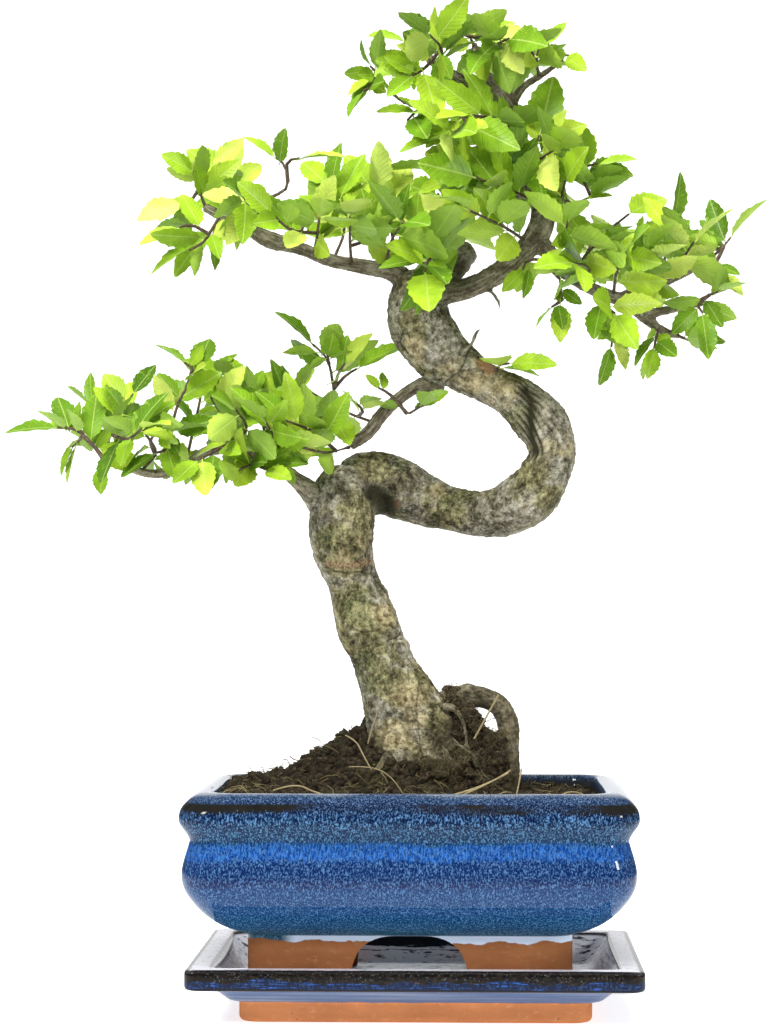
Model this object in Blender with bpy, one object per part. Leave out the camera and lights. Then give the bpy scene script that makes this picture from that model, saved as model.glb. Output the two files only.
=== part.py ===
"""Chinese elm bonsai in a blue glazed pot on its drip tray.

Lengths in the code are millimetres, and meshes are made in metres. The origin is the middle of the tray's
underside, +Z is up and the front faces -Y.
"""

import math
import random

import bmesh
import bpy
import numpy as np
from mathutils import Matrix, Vector
from mathutils.bvhtree import BVHTree

for old in list(bpy.data.objects):
    bpy.data.objects.remove(old)

# Metres in a millimetre, the gap between neighbours, and the gap of a root in its hole
MM = 0.001
GAP = 0.35
HOLE_GAP = 0.5
SHARP_ANGLE = math.radians(38)

# Drip tray: half sizes of its rim, and heights
TRAY_HALF_WIDTH = 99.75
TRAY_HALF_DEPTH = 75
TRAY_CORNER = 5
TRAY_HEIGHT = 25.4
TRAY_FLOOR = 12
TRAY_FOOT_INSET = 22

# Pot: half sizes of its rim, and heights
POT_HALF_WIDTH = 101
POT_HALF_DEPTH = 73
POT_CORNER = 15
POT_SHIFT_X = -2.6
POT_BASE = TRAY_FLOOR + GAP
POT_TOP = 101
POT_UNDERSIDE = 38
POT_FLOOR = 45
POT_FOOT_INSET = 29
POT_FOOT_WALL = 7
DEPTH_PER_WIDTH = 25 / 29
ARCH_HALF_WIDTH = 26
DRAIN_RADIUS = 6
DRAIN_X = 38
DRAIN_SIDES = 10

# Points on each rounded corner, and on the soil's straight sides
CORNER_STEPS = 3
SOIL_SIDE_POINTS = 2

# Soil surface: its level, its fall to the right and the mound around the trunk
SOIL_LEVEL = 95.5
SOIL_FALL = 0.028
MOUND_HEIGHT = 36
MOUND_LEFT = 48
MOUND_RIGHT = 30
MOUND_FRONT = 24
MOUND_BACK = 30
CLUMP_HEIGHT = 25
CLUMP_SPREAD = 11

# Leaves and twigs
BLADE_THICKNESS = 0.72
TWIG_ROOT_RADIUS = 1.25
TWIG_TIP_RADIUS = 0.85

# Wood: stations (x, y, z, radius) along each limb, from its root to its tip
LOWER_TRUNK = [
    (-3, 0, 88, 14), (-3, 0, 105, 14), (-5, 0, 122, 15.5), (-9, 0, 139, 16), (-16, 0, 158, 14),
    (-24, 0, 176, 14), (-30, 0, 195, 11), (-34, -1, 208, 13.5), (-35, -1, 221, 15), (-34, 2, 234, 14),
    (-31, 5, 241, 11),
]
LOOP = [
    (-30, 8, 236, 13), (-20, 15, 238, 14.5), (-8, 19, 236, 15), (5, 19, 230, 11.5), (21, 13, 225, 9.5),
    (37, 6, 225, 11), (51, 0, 232, 13), (59, -4, 242, 11.5), (61, -6, 254, 10.5), (56, -5, 266, 11.5),
    (46, -4, 276, 10), (33, -2, 283, 9), (20, 0, 291, 11), (8, 0, 301, 14), (1, 0, 312, 14),
    (-1, 2, 323, 11.5), (1, 3, 330, 9.5),
]
ROOT_FLARE = [
    (-9, -1, 154, 8), (-1, -3, 140, 10), (6, -5, 126, 10.5), (10, -6, 112, 10), (12, -6, 96, 9),
]
ARCH_ROOT = [
    (4, 0, 130, 8), (12, 2, 136, 6.5), (21, 4, 140, 5.5), (29, 5, 140, 5), (36, 5, 137, 5),
    (41, 5, 129, 5), (42, 4, 119, 4.5), (42, 3, 107, 4.5), (40, 2, 92, 4),
]
DEAD_STUB = [
    (0, 3, 326, 9), (9, 6, 334, 8.5), (17, 8, 340, 7.5), (23, 9, 347, 6),
]
LEADER = [
    (3, 2, 324, 7), (15, 0, 326, 5.5), (25, -3, 328, 5), (34, -5, 332, 5), (42, -6, 337, 5),
    (50, -6, 345, 5), (56, -5, 353, 5.5), (58, -1, 361, 5.5), (55, 4, 373, 5), (49, 7, 386, 4),
    (46, 8, 398, 4), (43, 8, 409, 4.5), (37, 6, 418, 5), (32, 6, 425, 3.5),
]
TOP_LEFT = [
    (35, 6, 419, 4), (24, 4, 422, 3), (10, 0, 430, 2.5), (-1, -3, 438, 1.5),
]
TOP_UP = [
    (33, 6, 422, 3), (29, 7, 431, 2.5), (26, 9, 442, 1.5),
]
TOP_RIGHT = [
    (42, 7, 411, 3), (48, 4, 420, 2), (58, 0, 426, 1.5), (67, -3, 432, 1),
]
TOP_LOW = [
    (45, 8, 403, 2), (30, -2, 405, 1.5), (15, -8, 407, 1.5), (1, -12, 409, 1.5), (-9, -15, 413, 1),
    (-16, -15, 421, 1),
]
UPPER_LEFT = [
    (-2, 3, 328, 6.5), (-11, 2, 335, 4.5), (-23, -2, 337, 3.5), (-40, -6, 340, 3), (-53, -8, 345, 3),
    (-67, -9, 349, 4), (-77, -9, 354, 3), (-89, -9, 360, 2.5), (-97, -9, 364, 2),
]
LOW_LEFT = [
    (-44, -4, 230, 7.5), (-51, -6, 236, 4.5), (-61, -9, 244, 3), (-75, -11, 250, 2.5), (-88, -12, 254, 3),
    (-96, -13, 252, 2.5), (-106, -15, 245, 2.5), (-121, -16, 242, 2), (-134, -16, 246, 2),
    (-143, -16, 248, 1.5),
]
LOW_BACK = [
    (10, 6, 284, 5.5), (2, 10, 284, 3.5), (-7, 12, 279, 3), (-16, 12, 271, 3), (-24, 12, 261, 3),
    (-31, 11, 256, 2.5),
]
RIGHT = [
    (55, -5, 348, 4.5), (62, -8, 341, 3.5), (69, -10, 333, 3.5), (81, -12, 325, 3), (96, -12, 319, 3),
    (104, -12, 312, 2.5), (111, -12, 307, 2), (119, -12, 304, 1.5),
]
RIGHT_LOW = [
    (103, -12, 314, 2.5), (113, -11, 316, 2), (124, -10, 318, 1.5), (134, -8, 320, 1),
]
RIGHT_HIGH = [
    (91, -12, 321, 2.5), (99, -10, 325, 2), (108, -8, 327, 2), (118, -6, 331, 1.5), (127, -4, 336, 1.5),
    (136, -2, 342, 1),
]
DEAD_TWIG_HIGH = [
    (21, -10, 297, 1.5), (25, -11, 301, 1), (27, -11, 306, 1), (29, -11, 308, 0.5),
]
DEAD_TWIG_LOW = [
    (28, -4, 329, 1.5), (33, -5, 326, 1), (37, -6, 321, 1), (38, -7, 316, 0.5),
]

# Leafy twigs: leaves, leaf length, seed of its leaves and stations (x, y, z), the first twig of a spray from
# its limb and the others from the first
SPRAYS = {
    "left_1": [
        (4, 24, 77, [(-142, -16, 248), (-147, -18, 255), (-155, -19, 262), (-163, -18, 263)]),
        (1, 17, 7, [(-149, -18, 257), (-152, -17, 261), (-154, -16, 263)]),
        (2, 14, 14, [(-149, -18, 257), (-154, -14, 257), (-157, -14, 254)]),
        (1, 14, 65, [(-143, -17, 250), (-142, -22, 247), (-143, -22, 244)]),
    ],
    "left_2": [
        (5, 21, 91, [(-141, -16, 248), (-140, -14, 258), (-135, -10, 270), (-130, -6, 279)]),
        (4, 24, 55, [(-140, -14, 258), (-129, -32, 257), (-121, -46, 261)]),
        (2, 20, 100, [(-138, -12, 264), (-146, -8, 271), (-150, -6, 274)]),
    ],
    "left_3": [
        (4, 22, 18, [(-125, -16, 243), (-120, -2, 252), (-127, 10, 263), (-133, 22, 276)]),
        (3, 24, 127, [(-120, -2, 252), (-120, -22, 257), (-113, -38, 262)]),
    ],
    "left_4": [
        (4, 22, 35, [(-109, -15, 244), (-111, -18, 257), (-109, -15, 272), (-102, -11, 286), (-99, -9, 291)]),
        (1, 18, 8, [(-111, -18, 254), (-114, -23, 252), (-118, -24, 251)]),
        (1, 22, 54, [(-102, -11, 286), (-103, -11, 291), (-106, -11, 293)]),
    ],
    "left_5": [
        (4, 23, 82, [(-105, -15, 246), (-104, 8, 262), (-102, 24, 279), (-101, 28, 288)]),
    ],
    "left_6": [
        (4, 22, 123, [(-93, -12, 253), (-88, -14, 265), (-94, -10, 277)]),
        (3, 23, 128, [(-88, -14, 265), (-88, 14, 270), (-97, 38, 277)]),
    ],
    "left_7": [
        (4, 24, 35, [(-86, -12, 254), (-76, -30, 262), (-80, -44, 270)]),
        (3, 21, 112, [(-80, -22, 259), (-90, -36, 251), (-97, -42, 247)]),
    ],
    "left_8": [
        (3, 24, 48, [(-77, -11, 251), (-73, -24, 247), (-79, -36, 243)]),
        (2, 22, 57, [(-73, -24, 247), (-67, -36, 243)]),
    ],
    "left_9": [
        (4, 24, 21, [(-71, -10, 248), (-71, 8, 263), (-78, 22, 281)]),
        (3, 23, 24, [(-71, 8, 263), (-62, 24, 271), (-57, 32, 282)]),
        (2, 20, 32, [(-74, 15, 272), (-81, 16, 283), (-90, 16, 288)]),
    ],
    "left_10": [
        (4, 25, 90, [(-61, -9, 243), (-62, -26, 254), (-67, -40, 265)]),
    ],
    "back_1": [
        (3, 27, 56, [(-29, 12, 258), (-37, 10, 270), (-39, 6, 284), (-42, 2, 296), (-48, 0, 302)]),
        (2, 19, 47, [(-39, 6, 284), (-36, 1, 289), (-33, -3, 293)]),
        (1, 25, 96, [(-37, 8, 279), (-33, 6, 288), (-28, 5, 291)]),
        (1, 14, 15, [(-40, 4, 290), (-41, -1, 295), (-41, -3, 297)]),
        (3, 24, 126, [(-37, 10, 270), (-45, -4, 267), (-55, -14, 271)]),
    ],
    "back_2": [
        (3, 25, 16, [(-32, 11, 255), (-41, -6, 252), (-54, -26, 254)]),
        (3, 25, 50, [(-37, 0, 253), (-47, -20, 261), (-58, -36, 265)]),
    ],
    "back_3": [
        (4, 25, 84, [(-19, 12, 266), (-33, 28, 272), (-52, 40, 283)]),
        (2, 16, 116, [(-23, 17, 268), (-26, 12, 273), (-29, 10, 276)]),
    ],
    "back_4": [
        (3, 14, 5, [(-9, 12, 277), (-5, 2, 270), (3, -4, 274)]),
        (2, 10, 34, [(-8, 9, 275), (-14, 3, 280), (-18, 1, 282)]),
    ],
    "upper_1": [
        (4, 20, 128, [(-96, -9, 363), (-99, -9, 370), (-98, -10, 376), (-93, -11, 381)]),
        (1, 24, 50, [(-99, -9, 369), (-103, -12, 367), (-107, -15, 365)]),
        (1, 20, 38, [(-98, -10, 376), (-100, -12, 378), (-102, -13, 380)]),
    ],
    "upper_2": [
        (4, 25, 12, [(-90, -9, 360), (-93, -20, 352), (-96, -26, 346), (-102, -29, 342)]),
        (2, 19, 20, [(-94, -22, 350), (-102, -24, 354), (-107, -25, 353)]),
    ],
    "upper_3": [
        (4, 22, 109, [(-82, -9, 357), (-79, 4, 367), (-84, 8, 377), (-90, 10, 382)]),
        (2, 23, 39, [(-80, 1, 364), (-79, 22, 368), (-85, 38, 373)]),
    ],
    "upper_4": [
        (3, 18, 95, [(-75, -9, 354), (-69, -14, 366), (-59, -16, 372), (-60, -16, 382), (-64, -16, 386)]),
        (1, 20, 76, [(-60, -16, 380), (-58, -17, 384), (-53, -18, 385)]),
        (3, 24, 42, [(-72, -11, 360), (-74, -28, 361), (-77, -40, 365)]),
    ],
    "upper_5": [
        (3, 25, 65, [(-47, -7, 343), (-45, -20, 349), (-43, -36, 356)]),
        (3, 24, 51, [(-45, -17, 348), (-56, -30, 351), (-64, -38, 357)]),
    ],
    "upper_6": [
        (4, 26, 66, [(-54, -8, 345), (-53, 12, 358), (-47, 22, 372)]),
    ],
    "upper_7": [
        (4, 24, 1, [(-38, -6, 340), (-34, 10, 356), (-36, 18, 370), (-43, 22, 379)]),
    ],
    "upper_8": [
        (3, 25, 97, [(-30, -4, 338), (-30, -22, 347), (-29, -40, 356)]),
        (3, 24, 46, [(-30, -13, 343), (-21, -12, 349), (-11, -14, 357)]),
    ],
    "upper_9": [
        (3, 27, 78, [(-15, 0, 336), (-11, -24, 347), (-5, -44, 353)]),
    ],
    "upper_10": [
        (4, 25, 5, [(-11, 2, 335), (-12, 20, 354), (-16, 30, 370), (-23, 33, 379)]),
    ],
    "middle_1": [
        (3, 28, 43, [(10, 6, 335), (9, -14, 343), (2, -34, 348)]),
        (3, 26, 39, [(10, -4, 339), (5, -24, 337), (4, -36, 331)]),
    ],
    "middle_2": [
        (3, 26, 65, [(23, 9, 346), (17, 26, 361), (9, 36, 376)]),
    ],
    "middle_3": [
        (4, 27, 115, [(52, -5, 347), (39, -24, 353), (23, -36, 359)]),
    ],
    "middle_4": [
        (3, 26, 35, [(58, 1, 365), (45, -18, 369), (27, -30, 374)]),
        (2, 25, 16, [(51, -8, 367), (38, 12, 367), (23, 26, 370)]),
    ],
    "middle_5": [
        (3, 26, 52, [(53, 5, 377), (40, -8, 382), (23, -20, 385)]),
        (3, 25, 56, [(46, -2, 380), (33, 18, 383), (10, 30, 386)]),
    ],
    "middle_6": [
        (3, 25, 109, [(48, 7, 390), (37, 14, 393), (24, 20, 395), (15, 22, 393)]),
    ],
    "top_1": [
        (3, 21, 123, [(1, -3, 436), (-2, -6, 438), (-5, -8, 440)]),
        (2, 17, 61, [(-1, -5, 438), (-5, -11, 434), (-9, -13, 431)]),
    ],
    "top_2": [
        (4, 27, 45, [(11, 0, 429), (11, -14, 436), (6, -22, 440)]),
        (3, 25, 19, [(11, -7, 432), (3, -18, 425), (-2, -24, 421)]),
    ],
    "top_3": [
        (3, 20, 0, [(27, 9, 438), (25, 6, 443), (18, 2, 446)]),
        (1, 12, 114, [(23, 5, 444), (21, 6, 447), (20, 6, 449)]),
        (1, 18, 111, [(26, 7, 441), (30, 6, 444), (34, 5, 446)]),
    ],
    "top_4": [
        (4, 26, 25, [(28, 8, 435), (36, -8, 438), (42, -18, 439)]),
        (3, 24, 114, [(32, 0, 437), (37, 18, 442), (42, 30, 448)]),
    ],
    "top_5": [
        (2, 16, 98, [(65, -3, 431), (68, -5, 434), (71, -6, 433)]),
    ],
    "top_6": [
        (3, 24, 66, [(56, 1, 425), (54, -12, 430), (51, -20, 435)]),
        (3, 23, 0, [(55, -6, 428), (49, 14, 432), (45, 28, 438)]),
        (1, 17, 65, [(54, -12, 430), (56, -13, 435), (59, -13, 437)]),
    ],
    "top_7": [
        (4, 26, 47, [(46, 8, 400), (36, -14, 403), (25, -26, 403)]),
    ],
    "top_8": [
        (3, 18, 3, [(-15, -15, 420), (-18, -16, 424), (-21, -17, 427)]),
        (3, 20, 123, [(-17, -16, 423), (-20, -22, 417), (-24, -26, 414)]),
    ],
    "top_9": [
        (3, 22, 103, [(5, -11, 409), (0, -18, 406), (-4, -24, 401)]),
    ],
    "top_10": [
        (4, 27, 102, [(18, -7, 407), (22, -22, 400), (16, -32, 393)]),
    ],
    "right_1": [
        (4, 26, 120, [(50, 6, 384), (56, -12, 385), (63, -24, 388)]),
        (2, 30, 39, [(53, -3, 385), (54, -4, 391), (56, -4, 397)]),
    ],
    "right_2": [
        (3, 25, 51, [(58, -1, 361), (70, 8, 366), (80, 12, 371)]),
        (3, 23, 18, [(64, 3, 364), (66, -16, 368), (67, -26, 373)]),
        (3, 24, 9, [(61, 1, 362), (66, 12, 374), (71, 16, 383)]),
        (2, 22, 5, [(69, 14, 379), (76, 12, 384), (83, 10, 386)]),
    ],
    "right_3": [
        (3, 24, 36, [(63, -8, 340), (66, -26, 347), (68, -36, 354)]),
    ],
    "right_4": [
        (3, 25, 56, [(70, -10, 332), (78, -24, 342), (85, -32, 347)]),
        (3, 24, 127, [(74, -17, 337), (83, 10, 351), (98, 22, 364)]),
    ],
    "right_5": [
        (2, 16, 7, [(60, -7, 343), (65, -12, 333), (66, -14, 321)]),
        (1, 12, 66, [(66, -14, 323), (64, -17, 319), (61, -18, 317)]),
        (1, 17, 96, [(61, -9, 338), (54, -16, 339), (49, -17, 337), (48, -17, 334)]),
    ],
    "right_6": [
        (3, 24, 46, [(77, -11, 327), (77, -28, 334), (70, -38, 335)]),
    ],
    "right_7": [
        (3, 27, 108, [(82, -12, 324), (85, -24, 317), (89, -30, 313)]),
    ],
    "right_8": [
        (3, 25, 81, [(89, -12, 322), (90, -28, 332), (94, -38, 340)]),
        (3, 24, 122, [(89, -20, 328), (93, 6, 340), (101, 20, 350)]),
    ],
    "right_9": [
        (3, 24, 64, [(107, -8, 327), (106, -22, 335), (102, -32, 341)]),
        (3, 24, 69, [(106, -15, 331), (108, 12, 337), (109, 30, 345)]),
    ],
    "right_10": [
        (4, 25, 18, [(112, -7, 328), (114, 8, 343), (118, 12, 359)]),
        (3, 24, 108, [(113, 1, 336), (120, -14, 339), (125, -22, 346)]),
    ],
    "right_11": [
        (3, 22, 10, [(133, -3, 340), (138, -3, 344), (143, -3, 350)]),
        (1, 24, 26, [(136, -3, 342), (137, 1, 345), (137, 3, 348)]),
        (2, 15, 125, [(135, -3, 341), (136, -10, 334), (139, -13, 332)]),
    ],
    "right_12": [
        (2, 16, 124, [(124, -10, 318), (131, -15, 322), (140, -17, 325)]),
        (1, 20, 79, [(127, -12, 320), (127, -18, 317), (129, -19, 314)]),
    ],
    "right_13": [
        (3, 18, 1, [(117, -12, 305), (121, -14, 303), (126, -16, 301)]),
    ],
    "right_14": [
        (3, 18, 76, [(110, -12, 308), (108, -19, 303), (107, -21, 298)]),
    ],
    "right_15": [
        (3, 18, 40, [(99, -12, 317), (92, -14, 311), (89, -16, 305), (88, -16, 299)]),
    ],
    "shoot": [
        (2, 26, 8, [(33, -2, 283), (37, -10, 291), (42, -13, 292)]),
    ],
}

# Limbs as (name, stations, sides, ring spacing). The roots and the lower trunk stand in holes in the soil.
ROOTS = [
    ("lower_trunk", LOWER_TRUNK, 10, 11),
    ("root_flare", ROOT_FLARE, 8, 12),
    ("arch_root", ARCH_ROOT, 7, 9),
]
LIMBS = [
    ("loop", LOOP, 10, 11),
    ("dead_stub", DEAD_STUB, 6, 9),
    ("leader", LEADER, 6, 9),
    ("top_left", TOP_LEFT, 5, 11),
    ("top_up", TOP_UP, 5, 11),
    ("top_right", TOP_RIGHT, 5, 11),
    ("top_low", TOP_LOW, 5, 12),
    ("upper_left", UPPER_LEFT, 6, 10),
    ("low_left", LOW_LEFT, 6, 10),
    ("low_back", LOW_BACK, 6, 9),
    ("right", RIGHT, 6, 9),
    ("right_low", RIGHT_LOW, 5, 12),
    ("right_high", RIGHT_HIGH, 5, 12),
    ("dead_twig_high", DEAD_TWIG_HIGH, 3, 6),
    ("dead_twig_low", DEAD_TWIG_LOW, 3, 8),
]
LUMPS = {"lower_trunk": 0.05, "root_flare": 0.06, "arch_root": 0.05, "loop": 0.05}
LIMB_LUMPS = 0.03
TWIG_STEP = 12
TWIG_SIDES = 3

# Leaf outlines as (share of the length, share of the half width), from the base along the left side to the
# tip and back: two saw teeth on each side of a large leaf, and fewer on a small one
LARGE_OUTLINE = [(0, 0), (0.38, 1), (0.46, 0.76), (0.76, 0.66), (1, 0), (0.7, -0.7), (0.42, -0.8), (0.34, -1)]
SMALL_OUTLINE = [(0, 0), (0.44, 1), (0.56, 0.7), (1, 0), (0.68, -0.66), (0.36, -1)]
LARGE_LEAF = 26
FIRST_LEAF_AT = 0.3
# Ranges of a leaf: length per length of its twig's leaves, half width and arch per length
LEAF_LENGTHS = (0.88, 1.2)
LEAF_HALF_WIDTHS = (0.19, 0.28)
LEAF_ARCHES = (0, 0.24)
BASAL_LEAF = 0.82
# Mean and spread of the way a leaf's upper side faces, then its angles in degrees and its droop
FACING = [(0, 0.4), (-0.32, 0.42), (0.9, 0.35)]
LEAF_SPLAY = (50, 9)
LEAF_SWERVE = 7
LEAF_ROLL = 20
LEAF_DROOP = 0.35
TIP_OVERLAP = 1.5
TREE_TOP = 459

# A leaf that meets something is turned round its twig by these angles in turn, and shrinks a little each time
SPINS = (0, 20, -20, 40, -40, 65, -65, 90, -90, 120, -120, 150, -150, 180)
SHRINK = 0.985


def material(name, colour, roughness, metallic=0.0, coat=0.0):
    made = bpy.data.materials.new(name)
    made.use_nodes = True
    shader = made.node_tree.nodes["Principled BSDF"]
    shader.inputs["Base Color"].default_value = (*colour, 1)
    shader.inputs["Roughness"].default_value = roughness
    shader.inputs["Metallic"].default_value = metallic
    shader.inputs["Coat Weight"].default_value = coat
    made.diffuse_color = (*colour, 1)
    return made


def add_object(name, points, faces, look=None):
    """An object from points in millimetres, with its faces turned outwards."""
    mesh = bpy.data.meshes.new(name)
    mesh.from_pydata([Vector(point) * MM for point in points], [], faces)
    shape = bmesh.new()
    shape.from_mesh(mesh)
    bmesh.ops.recalc_face_normals(shape, faces=shape.faces)
    shape.to_mesh(mesh)
    shape.free()
    made = bpy.data.objects.new(name, mesh)
    bpy.context.collection.objects.link(made)
    if look:
        mesh.materials.append(look)
    return made


def shade_round(made):
    """Smooth shading, with the edges over the sharp angle kept."""
    made.data.shade_smooth()
    made.data.set_sharp_from_angle(angle=SHARP_ANGLE)


def fuse(base, others, solver="EXACT"):
    """Joins the others to the base with one applied Boolean union and removes them."""
    group = bpy.data.collections.new(base.name + "_joined")
    bpy.context.scene.collection.children.link(group)
    for other in others:
        group.objects.link(other)
    join = base.modifiers.new("join", "BOOLEAN")
    join.operation = "UNION"
    join.solver = solver
    join.operand_type = "COLLECTION"
    join.collection = group
    bpy.context.view_layer.update()
    joined = bpy.data.meshes.new_from_object(base.evaluated_get(bpy.context.evaluated_depsgraph_get()))
    base.modifiers.clear()
    base.data = joined
    for other in others:
        bpy.data.objects.remove(other)
    bpy.data.collections.remove(group)


def cut(target, cutter):
    cutter.hide_render = True
    cutter.display_type = "WIRE"
    hole = target.modifiers.new(cutter.name, "BOOLEAN")
    hole.operation = "DIFFERENCE"
    hole.object = cutter


def smooth_route(stations, step):
    """Points about a step apart on a smooth curve through the stations."""
    points = np.array(stations, float)
    chords = np.linalg.norm(np.diff(points[:, :3], axis=0), axis=1)
    at = np.concatenate([[0], np.cumsum(chords)])
    slopes = np.gradient(points, at, axis=0)
    line = []
    for distance in np.linspace(0, at[-1], max(2, round(at[-1] / step)) + 1):
        i = min(int(np.searchsorted(at, distance, "right")) - 1, len(at) - 2)
        span = at[i + 1] - at[i]
        t = (distance - at[i]) / span
        line.append(
            (2 * t**3 - 3 * t**2 + 1) * points[i]
            + (t**3 - 2 * t**2 + t) * span * slopes[i]
            + (3 * t**2 - 2 * t**3) * points[i + 1]
            + (t**3 - t**2) * span * slopes[i + 1]
        )
    return np.array(line)


def tube_shape(line, sides, lumps=0.0, grow=0.0, dome=0.45):
    """Points and faces of a closed tube along a line of (x, y, z, radius), with domed or flat ends."""
    points = []
    faces = []
    ahead = np.gradient(line[:, :3], axis=0)
    across = Vector(ahead[0]).orthogonal().normalized()
    for row, (x, y, z, radius) in enumerate(line):
        axis = Vector(ahead[row]).normalized()
        across = (across - axis * across.dot(axis)).normalized()
        beside = axis.cross(across)
        for k in range(sides):
            turn = 2 * math.pi * k / sides
            swell = 1 + lumps * math.sin(2 * turn + 0.9 * row) + 0.6 * lumps * math.sin(3 * turn - 1.7 * row)
            reach = radius * swell + grow
            points.append(Vector((x, y, z)) + (across * math.cos(turn) + beside * math.sin(turn)) * reach)
        if row == 0:
            continue
        for k in range(sides):
            low = (row - 1) * sides
            high = row * sides
            after = (k + 1) % sides
            faces.append((low + k, low + after, high + after, high + k))
    for row, sign in ((0, -1), (len(line) - 1, 1)):
        if not dome:
            faces.append(tuple(range(row * sides, row * sides + sides)))
            continue
        axis = Vector(ahead[row]).normalized()
        radius = line[row][3]
        points.append(Vector(line[row][:3]) + axis * sign * (dome * radius + grow))
        for k in range(sides):
            faces.append((row * sides + k, row * sides + (k + 1) % sides, len(points) - 1))
    return points, faces


def rounded_ring(half_width, half_depth, corner, z, on_sides=0):
    """Points round a rectangle with rounded corners, with some more on each straight side."""
    ring = []
    for quarter, (side_x, side_y) in enumerate([(1, 1), (-1, 1), (-1, -1), (1, -1)]):
        for k in range(CORNER_STEPS + 1):
            turn = math.radians(90 * quarter + 90 * k / CORNER_STEPS)
            x = side_x * (half_width - corner) + corner * math.cos(turn)
            y = side_y * (half_depth - corner) + corner * math.sin(turn)
            ring.append((x, y, z))
    full = []
    for k, start in enumerate(ring):
        full.append(start)
        if k % (CORNER_STEPS + 1) == CORNER_STEPS:
            end = ring[(k + 1) % len(ring)]
            full += [tuple(Vector(start).lerp(end, (i + 1) / (on_sides + 1))) for i in range(on_sides)]
    return full


def loft_shape(rings):
    """Points and faces of a closed solid through rings of equal count, the first and last filled."""
    count = len(rings[0])
    points = [point for ring in rings for point in ring]
    faces = [tuple(range(count)), tuple(range(len(points) - count, len(points)))]
    for row in range(len(rings) - 1):
        for k in range(count):
            after = (k + 1) % count
            low = row * count
            faces.append((low + k, low + after, low + count + after, low + count + k))
    return points, faces


def build_tray():
    """A shallow glazed saucer on an unglazed foot, from the underside over the rim to its floor."""
    profile = [
        (TRAY_FOOT_INSET + 1.2, 0),
        (TRAY_FOOT_INSET, 1.2),
        (TRAY_FOOT_INSET, 9),
        (18, 9.4),
        (11, 16),
        (1.2, 16.2),
        (0, 17.4),
        (0, TRAY_HEIGHT - 1),
        (1, TRAY_HEIGHT),
        (9.6, TRAY_HEIGHT),
        (10.6, TRAY_HEIGHT - 0.8),
        (18.6, TRAY_FLOOR + 1),
        (20.6, TRAY_FLOOR),
    ]
    rings = []
    for inset, z in profile:
        corner = TRAY_CORNER + 0.15 * inset
        rings.append(rounded_ring(TRAY_HALF_WIDTH - inset, TRAY_HALF_DEPTH - inset, corner, z))
    glaze = material("navy_glaze", (0.012, 0.02, 0.06), 0.12, coat=1.0)
    shade_round(add_object("drip_tray", *loft_shape(rings), glaze))


def pot_ring(inset, z, extra=0.0, on_sides=0):
    """A ring of the pot: its insets from the rim are smaller in depth than in width."""
    half_width = POT_HALF_WIDTH - inset - extra
    half_depth = POT_HALF_DEPTH - DEPTH_PER_WIDTH * inset - extra
    corner = max(POT_CORNER - 0.12 * inset - extra, 3)
    ring = rounded_ring(half_width, half_depth, corner, z, on_sides)
    return [(x + POT_SHIFT_X, y, z) for x, y, z in ring]


POT_INSIDE = [(15.5, 99), (17, 88), (15, 64), (21, 50), (35, POT_FLOOR)]


def build_pot():
    """Foot ring, belly, neck and rolled rim, with arches in the long sides and two drain holes."""
    outside = [
        (POT_FOOT_INSET + POT_FOOT_WALL, POT_UNDERSIDE),
        (POT_FOOT_INSET + POT_FOOT_WALL, POT_BASE),
        (POT_FOOT_INSET + 0.8, POT_BASE),
        (POT_FOOT_INSET, POT_BASE + 1),
        (POT_FOOT_INSET, 37.2),
        (26.3, 38),
        (18.6, 41.1),
        (12.7, 45.2),
        (7.4, 50.5),
        (2.6, 57.5),
        (0.9, 64.5),
        (2.2, 71.4),
        (4.4, 78.4),
        (4.8, 80.4),
        (3, 83.7),
        (0.4, 87.2),
        (0, 90),
        (0.9, 94.2),
        (4.4, 98),
        (7.4, 99.9),
        (11, POT_TOP),
        (14.5, 100.6),
    ]
    rings = [pot_ring(inset, z) for inset, z in outside + POT_INSIDE]
    glaze = material("cobalt_glaze", (0.03, 0.09, 0.3), 0.15, coat=1.0)
    pot = add_object("pot", *loft_shape(rings), glaze)
    shade_round(pot)
    half_arch = [(1.04, POT_BASE - 5), (1, 22), (0.86, 32), (0.64, 37)]
    outline = [(side * part * ARCH_HALF_WIDTH, z) for side, part, z in
               [(1, *point) for point in half_arch] + [(-1, *point) for point in reversed(half_arch)]]
    ends = [[(x + POT_SHIFT_X, y, z) for x, z in outline] for y in (-POT_HALF_DEPTH, POT_HALF_DEPTH)]
    cut(pot, add_object("arch_cutter", *loft_shape(ends)))
    for side in (-1, 1):
        x = POT_SHIFT_X + side * DRAIN_X
        drain = [(x, 0, POT_UNDERSIDE - 3, DRAIN_RADIUS), (x, 0, POT_FLOOR + 3, DRAIN_RADIUS)]
        cut(pot, add_object("drain_cutter", *tube_shape(np.array(drain, float), DRAIN_SIDES)))


def soil_height(x, y):
    """The soil lies nearly level, with a steep mound at the trunk and a clump of roots on its right."""
    from_mound_x = x + 4
    from_mound_y = y - 8
    spread_x = MOUND_LEFT if from_mound_x < 0 else MOUND_RIGHT
    spread_y = MOUND_FRONT if from_mound_y < 0 else MOUND_BACK
    mound = MOUND_HEIGHT * math.exp(-((from_mound_x / spread_x) ** 2) - (from_mound_y / spread_y) ** 2)
    from_clump = math.hypot(x - 26, y - 4)
    clump = CLUMP_HEIGHT * math.exp(-((from_clump / CLUMP_SPREAD) ** 2))
    crumbs = 1.1 * math.sin(0.61 * x + 1.3) * math.sin(0.53 * y) + 0.9 * math.sin(0.37 * x - 0.71 * y)
    return SOIL_LEVEL - SOIL_FALL * x + mound + clump + crumbs


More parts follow.
